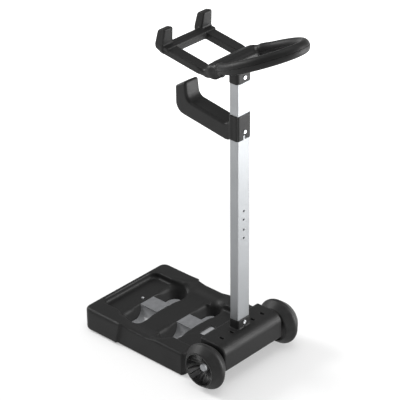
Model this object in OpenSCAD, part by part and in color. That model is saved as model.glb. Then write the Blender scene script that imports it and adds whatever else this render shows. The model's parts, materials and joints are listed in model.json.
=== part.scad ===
// Pool robot caddy: a two-wheeled stand with a tray for the robot, a post,
// a hook for its cable, a rack for its surface unit and a handle loop.
// +X points to the right of a person who holds the handle, +Y points ahead
// over the tray, +Z points up. The origin is the middle of the footprint.
// Lengths along Y in this file are measured from the axle.

/* [Tray] */
// Full width of the tray at the toe
tray_w = 344; // [336:1:400]
// Width of the tray behind its shoulders
waist_w = 328; // [290:1:332]
// From the axle to the front of the toe
toe_y = 473; // [440:1:560]
// From the tyres to the back of the side rims
heel_gap = 11; // [6:1:25]
// From the axle to the shoulders, where the sides step in
shoulder_y = 343; // [330:1:350]
// Height of the lower edge over the floor
skirt_z = 2.5; // [2:0.5:8]
// Height of the rims at the toe and at the heel
rim_z = 77; // [72:0.5:90]
// Height of the low stretch of the rims
saddle_z = 70; // [64:0.5:71]
// Height of the tray's floor
floor_z = 57; // [50:0.5:60]
// Clear width between the rims
basin_w = 224; // [200:1:236]
// Thickness of the double toe wall
toe_wall = 16; // [8:0.5:20]
// Radius of the toe's corners
toe_r = 25; // [20:1:60]
// Wall thickness of the black mouldings
wall = 3; // [2.4:0.1:4]
// Depth of both troughs below the tray's floor
trough_depth = 40; // [30:1:42]
// Length of both troughs at their bottoms
trough_l = 224; // [180:1:230]
// How far the trough walls lean out from bottom to top
trough_draft = 8; // [4:0.5:10]
// Back edge of the front trough
front_trough_y0 = 313; // [300:1:320]
// Front edge of the front trough
front_trough_y1 = 382; // [374:1:400]
// Back edge of the rear trough
rear_trough_y0 = 176; // [170:1:182]
// Front edge of the rear trough
rear_trough_y1 = 235; // [228:1:246]
// Diameter of the screw columns beside the troughs
column_d = 13.5; // [11:0.5:15]
// Half spacing of the front pair of columns
front_column_x = 116; // [112:0.5:118]
// Half spacing of the rear pair of columns
rear_column_x = 110; // [106:0.5:114]
// Length of the drain slot across the floor
slot_l = 52; // [30:1:70]
// Width of the drain slot
slot_w = 19; // [10:0.5:24]
// From the axle to the middle of the drain slot
slot_y = 136; // [130:1:150]

/* [Lower pan] */
// Thickness of the grey pan
pan_t = 3; // [2:0.1:4]
// Half width of the raised blocks in the troughs
block_x = 27; // [20:0.5:34]
// Radius of the hollow flanks of the blocks
block_r = 36; // [24:1:37]
// Thickness of the plates on the blocks
plate_t = 3; // [2:0.1:5]
// Gap under the edge of each plate
plate_gap = 1.2; // [0.6:0.1:2]
// Gap between the pan and the tray's skirt
pan_gap = 1; // [0.5:0.1:2]

/* [Axle housing] */
// Length of the housing across the caddy
housing_w = 247.2; // [220:0.2:260]
// From the axle back to the housing's rear face
housing_back = 42.7; // [38:0.1:50]
// From the axle ahead to the housing's front face
housing_front = 52; // [46:0.5:60]
// Height of the housing's lower edge
housing_z0 = 51; // [46:0.5:54]
// Height of the deck on top of the housing
deck_z = 129; // [118:0.5:140]
// Radius of the long upper edge at the back
housing_r = 30; // [20:1:36]
// Length of the oval holes in the deck
oval_l = 17; // [12:0.5:22]
// Width of the oval holes
oval_w = 8; // [5:0.5:10]
// Half spacing of the inner pair of oval holes
oval_x1 = 44.7; // [40:0.1:52]
// Half spacing of the outer pair of oval holes
oval_x2 = 86.3; // [78:0.1:94]
// From the axle to the middles of the oval holes
oval_y = 2.6; // [-4:0.1:6]
// Top of the collar that holds the post's foot
foot_collar_z = 158; // [146:0.5:170]

/* [Wheels] */
// Wheel diameter
wheel_d = 140; // [120:1:160]
// Wheel width
wheel_w = 56; // [44:1:64]
// Gap between a wheel and the end of the housing
wheel_gap = 5.6; // [4:0.1:8]
// Diameter of the open face of the rim
rim_d = 97.4; // [80:0.2:104]
// Radius of the tyre's crown
crown_r = 12; // [8:0.5:20]
// Number of spokes
spokes = 18; // [8:1:24]
// Thickness of a spoke
spoke_t = 1.8; // [1.2:0.1:3]
// Diameter of the hub
hub_d = 30; // [26:0.5:36]
// Diameter of the axle
axle_d = 12; // [10:0.5:14]
// Outer diameter of the bushes in the hub
bush_d = 18; // [15:0.5:20]
// How far the axle caps sit inside the wheel's outer face
cap_recess = 15.5; // [10:0.5:18]
// Diameter of the axle caps
cap_d = 22; // [18:0.5:24]
// Running clearance of the bushes on the axle, per side
running_gap = 0.05; // [0.02:0.01:0.1]

/* [Post] */
// Width of the post, across the caddy
post_w = 50; // [40:0.5:60]
// Depth of the post, along the caddy
post_d = 30; // [26:0.5:34]
// Corner radius of the post
post_r = 3.5; // [3:0.5:6]
// Wall thickness of the post
post_t = 1.8; // [1.5:0.1:3]
// From the axle to the middle of the post
post_y = 11.2; // [8:0.1:14]
// Height of the post's upper end
post_top = 935; // [925:1:940]
// Diameter of the four holes in the post's rear wall
post_hole_d = 7; // [5:0.5:9]
// Height between the two holes of a pair
post_hole_pitch = 26.5; // [20:0.5:34]
// Middle of the lower pair of holes
low_pair_z = 433.3; // [400:0.1:440]
// Middle of the upper pair of holes
high_pair_z = 491.6; // [480:0.1:520]
// Wall of the collars round the post
collar_t = 2.6; // [2.4:0.1:4]
// Corner radius of the collars round the post
collar_r = 8.5; // [6:0.5:9]
// Gap between the post and its collars, per side
post_gap = 0.15; // [0.1:0.05:0.3]

/* [Hook] */
// Lower end of the hook's collar
hook_z0 = 727; // [640:1:740]
// Height of the hook's collar
hook_collar_h = 73; // [64:1:90]
// Width of the hook's arm
hook_w = 55; // [40:0.5:60]
// From the axle to the hook's outer face
hook_y = 220; // [200:1:250]
// Height of the hook's tip over its collar's lower end
hook_tip_h = 120; // [105:1:130]
// Angle at which the hook and the rack rise
arm_tilt = 9; // [7:0.5:11]

/* [Head and rack] */
// Lower end of the head's collar
head_z0 = 896; // [890:0.5:900]
// Length of the head's cross bar
bar_w = 186; // [180:1:200]
// Outer width of the rack
rack_w = 185; // [170:1:185]
// Width of the rack's side limbs
limb_w = 35; // [24:0.2:38]
// Thickness of the rack
rack_t = 20; // [16:0.5:24]
// Length of the rack from the post's middle, along its slope
rack_l = 221; // [200:1:240]
// Depth of the rack's front bar
front_bar_d = 29; // [26:0.5:40]
// How far the prongs stand out in front of the front bar
prong_out = 14; // [0:0.5:18]
// Height of the prongs over the rack
prong_h = 50; // [30:0.5:60]
// Width of the prongs
prong_w = 38; // [20:0.5:44]
// Thickness of the prongs at their foot
prong_t = 30; // [20:0.5:34]

/* [Handle] */
// Half width of the handle loop, between its middle lines
loop_x = 82; // [74:1:84]
// Length of the loop along its slope
loop_l = 214; // [190:1:240]
// Angle at which the loop rises to the back
loop_tilt = 25.5; // [15:0.1:30]
// Thickness of the loop, square to its plane
loop_t = 40; // [34:0.5:42]
// Width of the loop's section in its plane
loop_s = 32; // [28:0.5:34]
// Wall thickness of the handle's shells
shell_t = 3; // [2.4:0.1:4]
// Height of the loop's middle line where it leaves the head
loop_z = 958; // [954:0.5:962]
// From the axle to that place
loop_y = 6; // [2:0.5:10]

/* [Screws and feet] */
// Diameter of the screws that pin the post
post_screw_d = 6; // [5:0.5:7]
// Diameter of the smaller screws
screw_d = 4; // [3:0.5:5]
// Diameter of the feet under the tray
foot_d = 26; // [20:1:32]
// Gap between screws and the holes they pass
screw_gap = 0.1; // [0.05:0.05:0.3]
// Gap round the axle in its clamps and its caps
seat_gap = 0.1; // [0.05:0.05:0.3]

/* [Hidden] */
$fn = 64;

black = "#33353a";
grey = "#8b8d90";
silver = "#c9cbcd";
steel = "#9a9ca0";
rubber = "#2b2c2e";

// Round shapes reach this little bit past what they cut
eps = 0.5;

// Loop section, leaned with the loop, reaches this far behind its middle line
loop_half_y = sqrt(pow(loop_s / 2 * cos(loop_tilt), 2) + pow(loop_t / 2 * sin(loop_tilt), 2));
// From the axle back to the rearmost point of the handle
handle_back = loop_l * cos(loop_tilt) - loop_y + loop_half_y;
// The axle stands here when the footprint's middle is the origin
axle_y = (handle_back - toe_y) / 2;
wheel_r = wheel_d / 2;
heel_y = wheel_r + heel_gap;
wheel_x = housing_w / 2 + wheel_gap + wheel_w / 2;
wheel_out = wheel_x + wheel_w / 2;

// Tongue of the tray, which carries the housing from below
tongue_t = 4;
tongue_x = housing_w / 2 - 8;
tongue_back = -housing_back + 6;
tongue_rib_h = 14;
trough_z = floor_z - trough_depth;

// Clamps that hold the axle on the tongue
clamp_x = 78;
clamp_w = 18;
clamp_d = 34;
clamp_screw_y = 12;

housing_screw_x = 104;
housing_screw_y = [-28, 36];
boss_d = 11;

foot_screw_z = 145.3;
foot_hole_z = foot_screw_z - 13;
foot_hole_d = 5;
socket_z = wheel_r + axle_d / 2 + 5;
post_z0 = socket_z;
hook_screw_z = hook_z0 + 24;
head_screw_z = head_z0 + 16;
post_screw_l = 18;
// Holes that the screws pass
screw_hole_d = screw_d + 2 * screw_gap;
post_screw_hole_d = post_screw_d + 2 * screw_gap;
screw_head_h = 2.4;
hook_slot_w = 8;
hook_slot_h = 14;

// Corners of a polygon, each [x, y, radius], rounded by arcs of a few steps
function unit(v) = v / norm(v);
function arc_corner(a, b, c, r, n) =
  let(
    u = unit(a - b),
    w = unit(c - b),
    half = acos(u * w) / 2,
    centre = b + unit(u + w) * r / sin(half),
    start = b + u * r / tan(half) - centre,
    stop = b + w * r / tan(half) - centre,
    a0 = atan2(start.y, start.x),
    turn = (atan2(stop.y, stop.x) - a0 + 540) % 360 - 180
  )
  [for (i = [0:n]) centre + r * [cos(a0 + turn * i / n), sin(a0 + turn * i / n)]];
function rounded(p, n = 6) = [
  for (i = [0:len(p) - 1])
    let(
      b = p[i],
      a = p[(i + len(p) - 1) % len(p)],
      c = p[(i + 1) % len(p)]
    )
    each b.z > 0
      ? arc_corner([a.x, a.y], [b.x, b.y], [c.x, c.y], b.z, n)
      : [[b.x, b.y]]
];
// The same outline drawn to both sides of the middle
function both_sides(p) = concat(p, [for (i = [len(p) - 1:-1:0]) [-p[i].x, p[i].y, p[i].z]]);

module in_place() translate([0, axle_y, 0]) children();
module mirrored() {
  children();
  mirror([1, 0, 0]) children();
}
// Profile drawn in Y and Z, as wide as w along X
module across(w) rotate([90, 0, 90]) linear_extrude(w, center = true) children();
// Profile drawn in X and Z, from y0 to y1
module along(y0, y1) translate([0, y1, 0]) rotate([90, 0, 0]) linear_extrude(y1 - y0) children();
module along_x(d, l) rotate([0, 90, 0]) cylinder(d = d, h = l, center = true);
module round_box(w, d, r) {
  square([w - 2 * r, d], center = true);
  square([w, d - 2 * r], center = true);
  for (x = [-1, 1], y = [-1, 1]) translate([x * (w / 2 - r), y * (d / 2 - r)]) circle(r);
}
module oval(l, w) {
  square([w, l - w], center = true);
  for (y = [-1, 1]) translate([0, y * (l - w) / 2]) circle(d = w);
}
// Pan-head screw, shank downwards from the origin, with a cross recess
module pan_screw(d, l) {
  head_d = d * 1.9;
  recess_l = d * 1.1;
  recess_w = d * 0.24;
  difference() {
    union() {
      cylinder(d = head_d, h = screw_head_h);
      translate([0, 0, -l]) cylinder(d = d, h = l + eps);
    }
    for (a = [0, 90]) rotate(a) translate([-recess_l / 2, -recess_w / 2, screw_head_h - 1.4])
      cube([recess_l, recess_w, 2]);
  }
}

// Tray outline seen from above, drawn in by a margin, with its shoulders at y
module tray_plan(m = 0, y = shoulder_y) polygon(rounded(both_sides([
  [tray_w / 2 - m, toe_y - m, toe_r - m],
  [tray_w / 2 - m, y + m, 3],
  [waist_w / 2 - m, y + m, 3],
  [waist_w / 2 - m, heel_y + m, 6]
])));
// The shoulders lean back from their lower ends to the rims
shoulder_lean = 19;
lean_step = shoulder_lean / (rim_z - skirt_z);
module shoulder_cut() for (x = [-1, 1]) translate([x * (waist_w + tray_w / 2) / 2, 0, 0])
  across(tray_w / 2) polygon([
    [heel_y, skirt_z - 1],
    [shoulder_y + lean_step, skirt_z - 1],
    [shoulder_y - shoulder_lean - lean_step, rim_z + 1],
    [heel_y, rim_z + 1]
  ]);
// Basin between the rims; grows by a margin
module basin_plan(g = 0) polygon(rounded(both_sides([
  [basin_w / 2 + g, toe_y - toe_wall + g, 24 + g],
  [basin_w / 2 + g, heel_y - 1, 0]
])));
// Cross section of the dish between the low rims, sunk by a margin
dish_x = waist_w / 2 - 8;
dish_foot_x = basin_w / 2 + 4;
module dish(m = 0) polygon(rounded([
  [-dish_x - 30, saddle_z - m, 0],
  [-dish_x, saddle_z - m, 20],
  [-dish_foot_x, floor_z - m, 26],
  [dish_foot_x, floor_z - m, 26],
  [dish_x, saddle_z - m, 20],
  [dish_x + 30, saddle_z - m, 0],
  [dish_x + 30, rim_z + 9, 0],
  [-dish_x - 30, rim_z + 9, 0]
]));
// Ramps between the high and the low stretches, which fall towards the middle and the floor
ramp_y = [324, 196];
ramp_lead = [31, -31];
ramp_slope_y = 0.667;
ramp_slope_x = ramp_slope_y * ramp_lead[0] / (waist_w - basin_w) * 2;
ramp_rise = atan(norm([ramp_slope_x, ramp_slope_y]));
ramp_reach = 400;
// A wall under a ramp is this much taller than it is thick
ramp_sink = 1.3;
module over_ramp(i, side, m) translate([side * basin_w / 2, ramp_y[i] + ramp_lead[i], rim_z - ramp_sink * m])
  rotate([0, -ramp_rise, atan2(sign(ramp_lead[i]) * ramp_slope_y, side * ramp_slope_x)])
  translate([-ramp_reach, -ramp_reach, 0]) cube([2 * ramp_reach, 2 * ramp_reach, ramp_reach / 2]);
module low_stretch(m = 0) intersection() {
  along(heel_y, toe_y) dish(m);
  over_ramp(0, 1, m);
  over_ramp(0, -1, m);
  over_ramp(1, 1, m);
  over_ramp(1, -1, m);
}
// Trough with leaning walls and round ends; grows by a margin
module trough(y0, y1, g = 0) {
  w1 = y1 - y0 + 2 * g;
  w0 = w1 - 2 * trough_draft;
  x_end = trough_l / 2 - (y1 - y0) / 2 + trough_draft;
  lift = trough_depth + (g > 0 ? 0 : 2 * eps);
  top = w1 + (g > 0 ? 0 : 2 * eps * 2 * trough_draft / trough_depth);
  translate([0, (y0 + y1) / 2, trough_z - g]) {
    for (x = [-1, 1]) translate([x * x_end, 0, 0]) cylinder(d1 = w0, d2 = top, h = lift + g);
    rotate([90, 0, 90]) linear_extrude(2 * x_end, center = true)
      polygon([[-w0 / 2, 0], [w0 / 2, 0], [top / 2, lift + g], [-top / 2, lift + g]]);
  }
}
module troughs(g = 0) {
  trough(front_trough_y0, front_trough_y1, g);
  trough(rear_trough_y0, rear_trough_y1, g);
}
column_places = [
  for (s = [-1, 1]) each [
    [s * front_column_x, front_trough_y1 - 2],
    [s * rear_column_x, rear_trough_y1 - 1]
  ]
];
pan_z = trough_z - pan_t;
floor_screw = [0, front_trough_y1 + 16];
module drain_slot(l, w) {
  square([l - w, w], center = true);
  for (x = [-1, 1]) translate([x * (l - w) / 2, 0]) circle(d = w);
}

module tray_skin() difference() {
  translate([0, 0, skirt_z]) linear_extrude(rim_z - skirt_z) tray_plan(0, shoulder_y - shoulder_lean - 2);
  shoulder_cut();
  translate([0, 0, floor_z]) linear_extrude(rim_z) basin_plan();
  low_stretch();
}
module tray_hollow() difference() {
  translate([0, 0, -1]) linear_extrude(rim_z - wall + 1) tray_plan(wall);
  translate([0, 0, floor_z - wall]) linear_extrude(rim_z) basin_plan(wall);
  low_stretch(wall);
}
// The heel runs back under the housing as a ribbed tongue
module tongue() {
  across(2 * tongue_x) polygon([
    [tongue_back, housing_z0 - tongue_t],
    [heel_y + wall, housing_z0 - tongue_t],
    [heel_y + wall, floor_z],
    [housing_front + post_gap, floor_z],
    [housing_front + post_gap, housing_z0],
    [tongue_back, housing_z0]
  ]);
  for (x = [-1, -0.32, 0.32, 1]) translate([x * (tongue_x - wall / 2), 0, 0]) across(wall) polygon([
    [tongue_back + 8, housing_z0 - tongue_t],
    [heel_y + wall, housing_z0 - tongue_t],
    [heel_y + wall, housing_z0 - tongue_t - tongue_rib_h]
  ]);
}
module tongue_holes() {
  for (x = [-1, 1], y = housing_screw_y) translate([x * housing_screw_x, y, 0])
    cylinder(d = screw_hole_d, h = housing_z0 + 1);
  for (x = [-1, 1], y = [-1, 1]) translate([x * clamp_x, y * clamp_screw_y, 0])
    cylinder(d = screw_hole_d, h = housing_z0 + 1);
}
column_screw_l = 22;
module tray() color(black) in_place() difference() {
  union() {
    difference() {
      tray_skin();
      difference() {
        tray_hollow();
        troughs(wall);
        for (p = column_places) translate([p.x, p.y, trough_z]) cylinder(d = column_d, h = trough_depth);
      }
    }
    tongue();
  }
  troughs();
  // The pan closes the tray from below
  translate([0, 0, -1]) linear_extrude(trough_z + 1) tray_plan(wall);
  for (p = column_places) translate([p.x, p.y, pan_z])
    cylinder(d = screw_hole_d, h = column_screw_l);
  translate([floor_screw.x, floor_screw.y, floor_z - wall - 1]) cylinder(d = screw_hole_d, h = wall + 2);
  translate([0, slot_y, floor_z - wall - 1]) linear_extrude(wall + 2) drain_slot(slot_l, slot_w);
  tongue_holes();
}

// Raised block with hollow flanks that fills the middle of a trough
block_top = floor_z - plate_t - plate_gap;
module block(y0, y1) {
  flank = min(block_r, block_top - trough_z - 1);
  along(y0, y1) difference() {
    translate([-block_x - flank, trough_z - 1]) square([2 * (block_x + flank), block_top - trough_z + 1]);
    for (x = [-1, 1]) {
      translate([x * (block_x + flank), trough_z + flank]) circle(flank);
      translate([x * (block_x + flank + tray_w / 2), trough_z + tray_w / 2])
        square(tray_w, center = true);
      translate([x * (block_x + flank), trough_z + flank + tray_w / 2])
        square([2 * flank, tray_w], center = true);
    }
  }
}
// Block cut to the leaning walls of its trough, clear of them by a gap
module trough_block(y0, y1) intersection() {
  trough(y0 + pan_gap / 2, y1 - pan_gap / 2, 0);
  block(y0, y1);
}
foot_places = [
  for (s = [-1, 1]) each [
    [s * 126, toe_y - 40],
    [s * 126, heel_y + 40]
  ]
];
foot_seat_h = 7;
foot_h = pan_z + pan_t - 1;
drain_top = floor_z - wall - 2;
module lower_pan() color(grey) in_place() difference() {
  union() {
    translate([0, 0, pan_z]) linear_extrude(pan_t) tray_plan(wall + pan_gap);
    trough_block(front_trough_y0, front_trough_y1);
    trough_block(rear_trough_y0, rear_trough_y1);
    translate([-slot_l / 2 - 4, slot_y - slot_w / 2 - 4, pan_z + 1])
      cube([slot_l + 8, slot_w + 8, drain_top - pan_z - 1]);
    translate([floor_screw.x, floor_screw.y, pan_z + 1]) cylinder(d = boss_d, h = floor_z - wall - pan_z - 1);
    for (p = foot_places) translate([p.x, p.y, foot_seat_h])
      cylinder(d = foot_d + 2 * wall, h = pan_z - foot_seat_h + 1);
  }
  for (p = column_places) translate([p.x, p.y, pan_z - 1]) cylinder(d = screw_hole_d, h = pan_t + 2);
  translate([floor_screw.x, floor_screw.y, floor_z - wall - column_screw_l])
    cylinder(d = screw_hole_d, h = column_screw_l + 1);
  for (p = foot_places) translate([p.x, p.y, foot_seat_h - 1])
    cylinder(d = foot_d + 2 * screw_gap, h = pan_z + pan_t - foot_seat_h);
}
// Plates on the blocks, flush with the tray's floor
module plate(y0, y1) {
  margin = pan_gap / 2 + trough_draft * (plate_t + plate_gap) / trough_depth;
  translate([-block_x - 1, y0 + margin, floor_z - plate_t])
    cube([2 * block_x + 2, y1 - y0 - 2 * margin, plate_t]);
  translate([-block_x + 3, y0 + margin + 3, block_top])
    cube([2 * block_x - 6, y1 - y0 - 2 * margin - 6, plate_gap + eps]);
}
module front_plate() color(grey) in_place() plate(front_trough_y0, front_trough_y1);
module rear_plate() color(grey) in_place() plate(rear_trough_y0, rear_trough_y1);
module tray_screws() color(steel) in_place() {
  for (p = column_places) translate([p.x, p.y, pan_z]) rotate([180, 0, 0])
    pan_screw(screw_d, column_screw_l - 1);
  translate([floor_screw.x, floor_screw.y, floor_z]) pan_screw(screw_d, column_screw_l);
}
module feet() color(rubber) in_place()
  for (p = foot_places) translate([p.x, p.y, 0]) cylinder(d = foot_d, h = foot_h);

// Housing of the axle, open at the bottom, with the socket of the post
module housing_side(m = 0) polygon(rounded([
  [-housing_back + m, housing_z0 - (m > 0 ? 1 : 0), m > 0 ? 0 : 2],
  [housing_front - m, housing_z0 - (m > 0 ? 1 : 0), m > 0 ? 0 : 2],
  [housing_front - m, deck_z - m, 6],
  [-housing_back + m, deck_z - m, housing_r - m]
], 10));
socket_w = post_w + 2 * post_gap + 2 * collar_t;
socket_d = post_d + 2 * post_gap + 2 * collar_t;
module collar_solid(z0, z1) translate([0, post_y, z0]) linear_extrude(z1 - z0)
  round_box(socket_w, socket_d, collar_r);
module collar_bore(z0, z1) translate([0, post_y, z0]) linear_extrude(z1 - z0)
  round_box(post_w + 2 * post_gap, post_d + 2 * post_gap, post_r + post_gap);
collar_back = post_y - socket_d / 2;
module back_hole(z, d, l) translate([0, collar_back - 1, z]) rotate([-90, 0, 0]) cylinder(d = d, h = l);
module axle_housing() color(black) in_place() difference() {
  union() {
    difference() {
      across(housing_w) housing_side();
      across(housing_w - 2 * wall) housing_side(wall);
    }
    collar_solid(socket_z - wall, foot_collar_z);
    intersection() {
      across(housing_w) housing_side(wall / 2);
      for (x = [-1, 1], y = housing_screw_y) translate([x * housing_screw_x, y, housing_z0])
        cylinder(d = boss_d, h = deck_z);
    }
  }
  collar_bore(socket_z, foot_collar_z + 1);
  back_hole(foot_screw_z, post_screw_hole_d, collar_t + 2);
  back_hole(foot_hole_z, foot_hole_d, collar_t + 2);
  for (x = [-1, 1]) {
    translate([x * housing_w / 2, 0, wheel_r]) along_x(axle_d + 0.4, 4 * wall);
    for (p = [oval_x1, oval_x2]) translate([x * p, oval_y, deck_z - 2 * wall])
      linear_extrude(3 * wall) oval(oval_l, oval_w);
    for (y = housing_screw_y) translate([x * housing_screw_x, y, housing_z0 - 1])
      cylinder(d = screw_hole_d, h = column_screw_l);
  }
}
module housing_screws() color(steel) in_place() for (x = [-1, 1], y = housing_screw_y)
  translate([x * housing_screw_x, y, housing_z0 - tongue_t]) rotate([180, 0, 0])
  pan_screw(screw_d, column_screw_l);

clamp_screw_l = 16;
module axle_clamps() color(black) in_place() for (x = [-1, 1]) translate([x * clamp_x, 0, 0]) difference() {
  across(clamp_w) difference() {
    union() {
      translate([-clamp_d / 2, housing_z0]) square([clamp_d, wheel_r - housing_z0]);
      translate([0, wheel_r]) circle(d = clamp_d);
    }
    translate([0, wheel_r]) circle(d = axle_d + 2 * seat_gap);
  }
  for (y = [-1, 1]) translate([0, y * clamp_screw_y, housing_z0 - 1])
    cylinder(d = screw_hole_d, h = clamp_screw_l - tongue_t + 2);
}
module clamp_screws() color(steel) in_place() for (x = [-1, 1], y = [-1, 1])
  translate([x * clamp_x, y * clamp_screw_y, housing_z0 - tongue_t]) rotate([180, 0, 0])
  pan_screw(screw_d, clamp_screw_l);

// Wheels: everything on the axle is placed from the wheel's outer face
cap_face = wheel_out - cap_recess;
cap_t = 6.5;
side_gap = 0.2;
flange_t = 1.5;
hub_x0 = wheel_x - wheel_w / 2 + flange_t;
hub_x1 = cap_face - cap_t - side_gap - flange_t;
axle_end = cap_face - 2.5;
rim_t = 1.8;
web_t = 4;
web_x = hub_x0 + 8;
seat_r = rim_d / 2 + rim_t;
module turned() rotate([0, 90, 0]) rotate([0, 0, 90]) rotate_extrude() children();
module axle() color(steel) in_place() translate([0, 0, wheel_r]) along_x(axle_d, 2 * axle_end);
// Rim of the right wheel, drawn as radius and distance along the axle
module rim() translate([0, 0, wheel_r]) {
  turned() {
    translate([bush_d / 2 + 0.02, hub_x0]) square([(hub_d - bush_d) / 2, hub_x1 - hub_x0]);
    translate([hub_d / 2 - 1, web_x]) square([(rim_d - hub_d) / 2 + 2, web_t]);
    translate([rim_d / 2, wheel_x - wheel_w / 2]) square([rim_t, wheel_w]);
  }
  for (i = [0:spokes - 1]) rotate([(i + 0.5) * 360 / spokes, 0, 0])
    translate([web_x + web_t / 2, -spoke_t / 2, hub_d / 2 - 1])
    cube([hub_x1 - web_x - web_t / 2 - 1, spoke_t, (rim_d - hub_d) / 2 + 1 + rim_t / 2]);
}
// Tyre with straight shoulders that run into a round crown
shoulder_r = seat_r + 0.8;
crown_z = wheel_r - crown_r;
crown_steps = 12;
crown_turn = atan2(wheel_w / 2, shoulder_r - crown_z)
  - acos(crown_r / norm([wheel_w / 2, shoulder_r - crown_z]));
module tyre() translate([0, 0, wheel_r]) turned() translate([0, wheel_x]) polygon(concat(
  [[seat_r + 0.05, -wheel_w / 2], [shoulder_r, -wheel_w / 2]],
  [for (i = [-crown_steps:crown_steps]) let(a = crown_turn * i / crown_steps)
    [crown_z + crown_r * cos(a), crown_r * sin(a)]],
  [[shoulder_r, wheel_w / 2], [seat_r + 0.05, wheel_w / 2]]
));
bush_l = 10;
module bush_profile(x0, flange_x) {
  inner = axle_d / 2 + running_gap;
  translate([inner, x0]) square([bush_d / 2 - inner, bush_l]);
  translate([inner, flange_x]) square([bush_d / 2 + 2 - inner, flange_t]);
}
module bushes() translate([0, 0, wheel_r]) {
  turned() bush_profile(hub_x0 - eps, hub_x0 - flange_t);
  turned() bush_profile(hub_x1 + eps - bush_l, hub_x1);
}
module left() mirror([1, 0, 0]) children();
module left_rim() color(black) in_place() left() rim();
module right_rim() color(black) in_place() rim();
module left_tyre() color(rubber) in_place() left() tyre();
module right_tyre() color(rubber) in_place() tyre();
module left_bushes() color(grey) in_place() left() bushes();
module right_bushes() color(grey) in_place() bushes();
module spacers() color(steel) in_place() mirrored() translate([0, 0, wheel_r]) turned()
  translate([axle_d / 2 + 0.1, housing_w / 2 + 0.1]) square([4, wheel_gap - side_gap - 0.1]);
module axle_caps() color(silver) in_place() mirrored() translate([0, 0, wheel_r]) turned() difference() {
  union() {
    translate([0, cap_face - cap_t]) square([cap_d / 2, cap_t - 2]);
    translate([0, cap_face - 2]) square([cap_d / 2 - 2, 2]);
    translate([cap_d / 2 - 2, cap_face - 2]) circle(2);
  }
  translate([-eps, cap_face - cap_t - 1]) square([axle_d / 2 + seat_gap + eps, cap_t - 2.4 + 1]);
  translate([-cap_d, cap_face - cap_t - 1]) square([cap_d, cap_t + 2]);
}

post_holes = [
  for (z = [low_pair_z, high_pair_z], s = [-1, 1]) z + s * post_hole_pitch / 2
];
module post() color(silver) in_place() difference() {
  translate([0, post_y, post_z0]) linear_extrude(post_top - post_z0) difference() {
    round_box(post_w, post_d, post_r);
    round_box(post_w - 2 * post_t, post_d - 2 * post_t, post_r - post_t);
  }
  for (z = post_holes) back_hole(z, post_hole_d, collar_t + post_t + 3);
  for (z = [foot_screw_z, hook_screw_z, head_screw_z])
    back_hole(z, post_screw_hole_d, collar_t + post_t + 3);
}
module post_screw(z) translate([0, collar_back, z]) rotate([90, 0, 0]) pan_screw(post_screw_d, post_screw_l);
module foot_screw() color(steel) in_place() post_screw(foot_screw_z);
module hook_screw() color(steel) in_place() post_screw(hook_screw_z);
module head_screw() color(steel) in_place() post_screw(head_screw_z);

tip_z = hook_z0 + hook_tip_h;
tip_d = 37;
collar_front = post_y + socket_d / 2;
function arm_rise(y) = (y - post_y) * tan(arm_tilt);
arm_low = -6;
arm_high = 39;
module hook_profile() polygon(rounded([
  [post_y, hook_z0, 0],
  [collar_front - 4, hook_z0, 3],
  [collar_front + 2, hook_z0 + arm_low, 3],
  [hook_y, hook_z0 + arm_low + arm_rise(hook_y), 34],
  [hook_y, tip_z - 24, 5],
  [hook_y - tip_d, tip_z, 5],
  [hook_y - tip_d - 7, hook_z0 + arm_high + arm_rise(hook_y - tip_d), 22],
  [collar_front, hook_z0 + arm_high + arm_rise(collar_front), 14],
  [collar_front, hook_z0 + hook_collar_h, 0],
  [post_y, hook_z0 + hook_collar_h, 0]
], 8));
module hook() color(black) in_place() difference() {
  union() {
    across(hook_w) hook_profile();
    collar_solid(hook_z0, hook_z0 + hook_collar_h);
  }
  collar_bore(hook_z0 - 1, hook_z0 + hook_collar_h + 1);
  back_hole(hook_screw_z, post_screw_hole_d, collar_t + 2);
  translate([-hook_slot_w / 2, collar_back - 1, hook_z0 - 1]) cube([hook_slot_w, collar_t + 2, hook_slot_h]);
}

// Rack, drawn level and then leaned about its place over the post
rack_z = 937;
rack_x = rack_w / 2;
window_x = rack_x - limb_w;
rack_y0 = 44;
bar_front = 63;
bar_back = 22;
bar_z0 = 925;
ridge_h = 4;
lip_x = 4.5;
bar_edge_y = rack_l - prong_out;
ridge_d = 18;
ridge_y = bar_edge_y - ridge_d / 2 - 4;
ridge_lean = 2;
module leaned() translate([0, post_y, rack_z]) rotate([arm_tilt, 0, 0]) children();
module prong() polygon(rounded([
  [rack_l, -rack_t, 10],
  [rack_l - 3, prong_h, 6],
  [rack_l - prong_t + 2, prong_h, 5],
  [rack_l - prong_t, 0, 0],
  [rack_l - prong_t, -rack_t, 0]
]));
module rack() leaned() {
  translate([0, 0, -rack_t]) linear_extrude(rack_t) difference() {
    polygon(rounded(both_sides([[rack_x, bar_edge_y, 0], [rack_x, rack_y0, 0]])));
    translate([-window_x, -1]) square([2 * window_x, bar_edge_y - front_bar_d + 1]);
  }
  // Ridge across the front bar
  across(2 * (rack_x - prong_w + lip_x + eps)) polygon(rounded([
    [ridge_y - ridge_d / 2, -eps, 0],
    [ridge_y + ridge_d / 2, -eps, 0],
    [ridge_y + ridge_d / 2 - ridge_lean, ridge_h, 1.5],
    [ridge_y - ridge_d / 2 + ridge_lean, ridge_h, 1.5]
  ]));
  for (x = [-1, 1]) translate([x * (rack_x + lip_x - prong_w / 2), 0, 0]) across(prong_w) prong();
}
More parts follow.
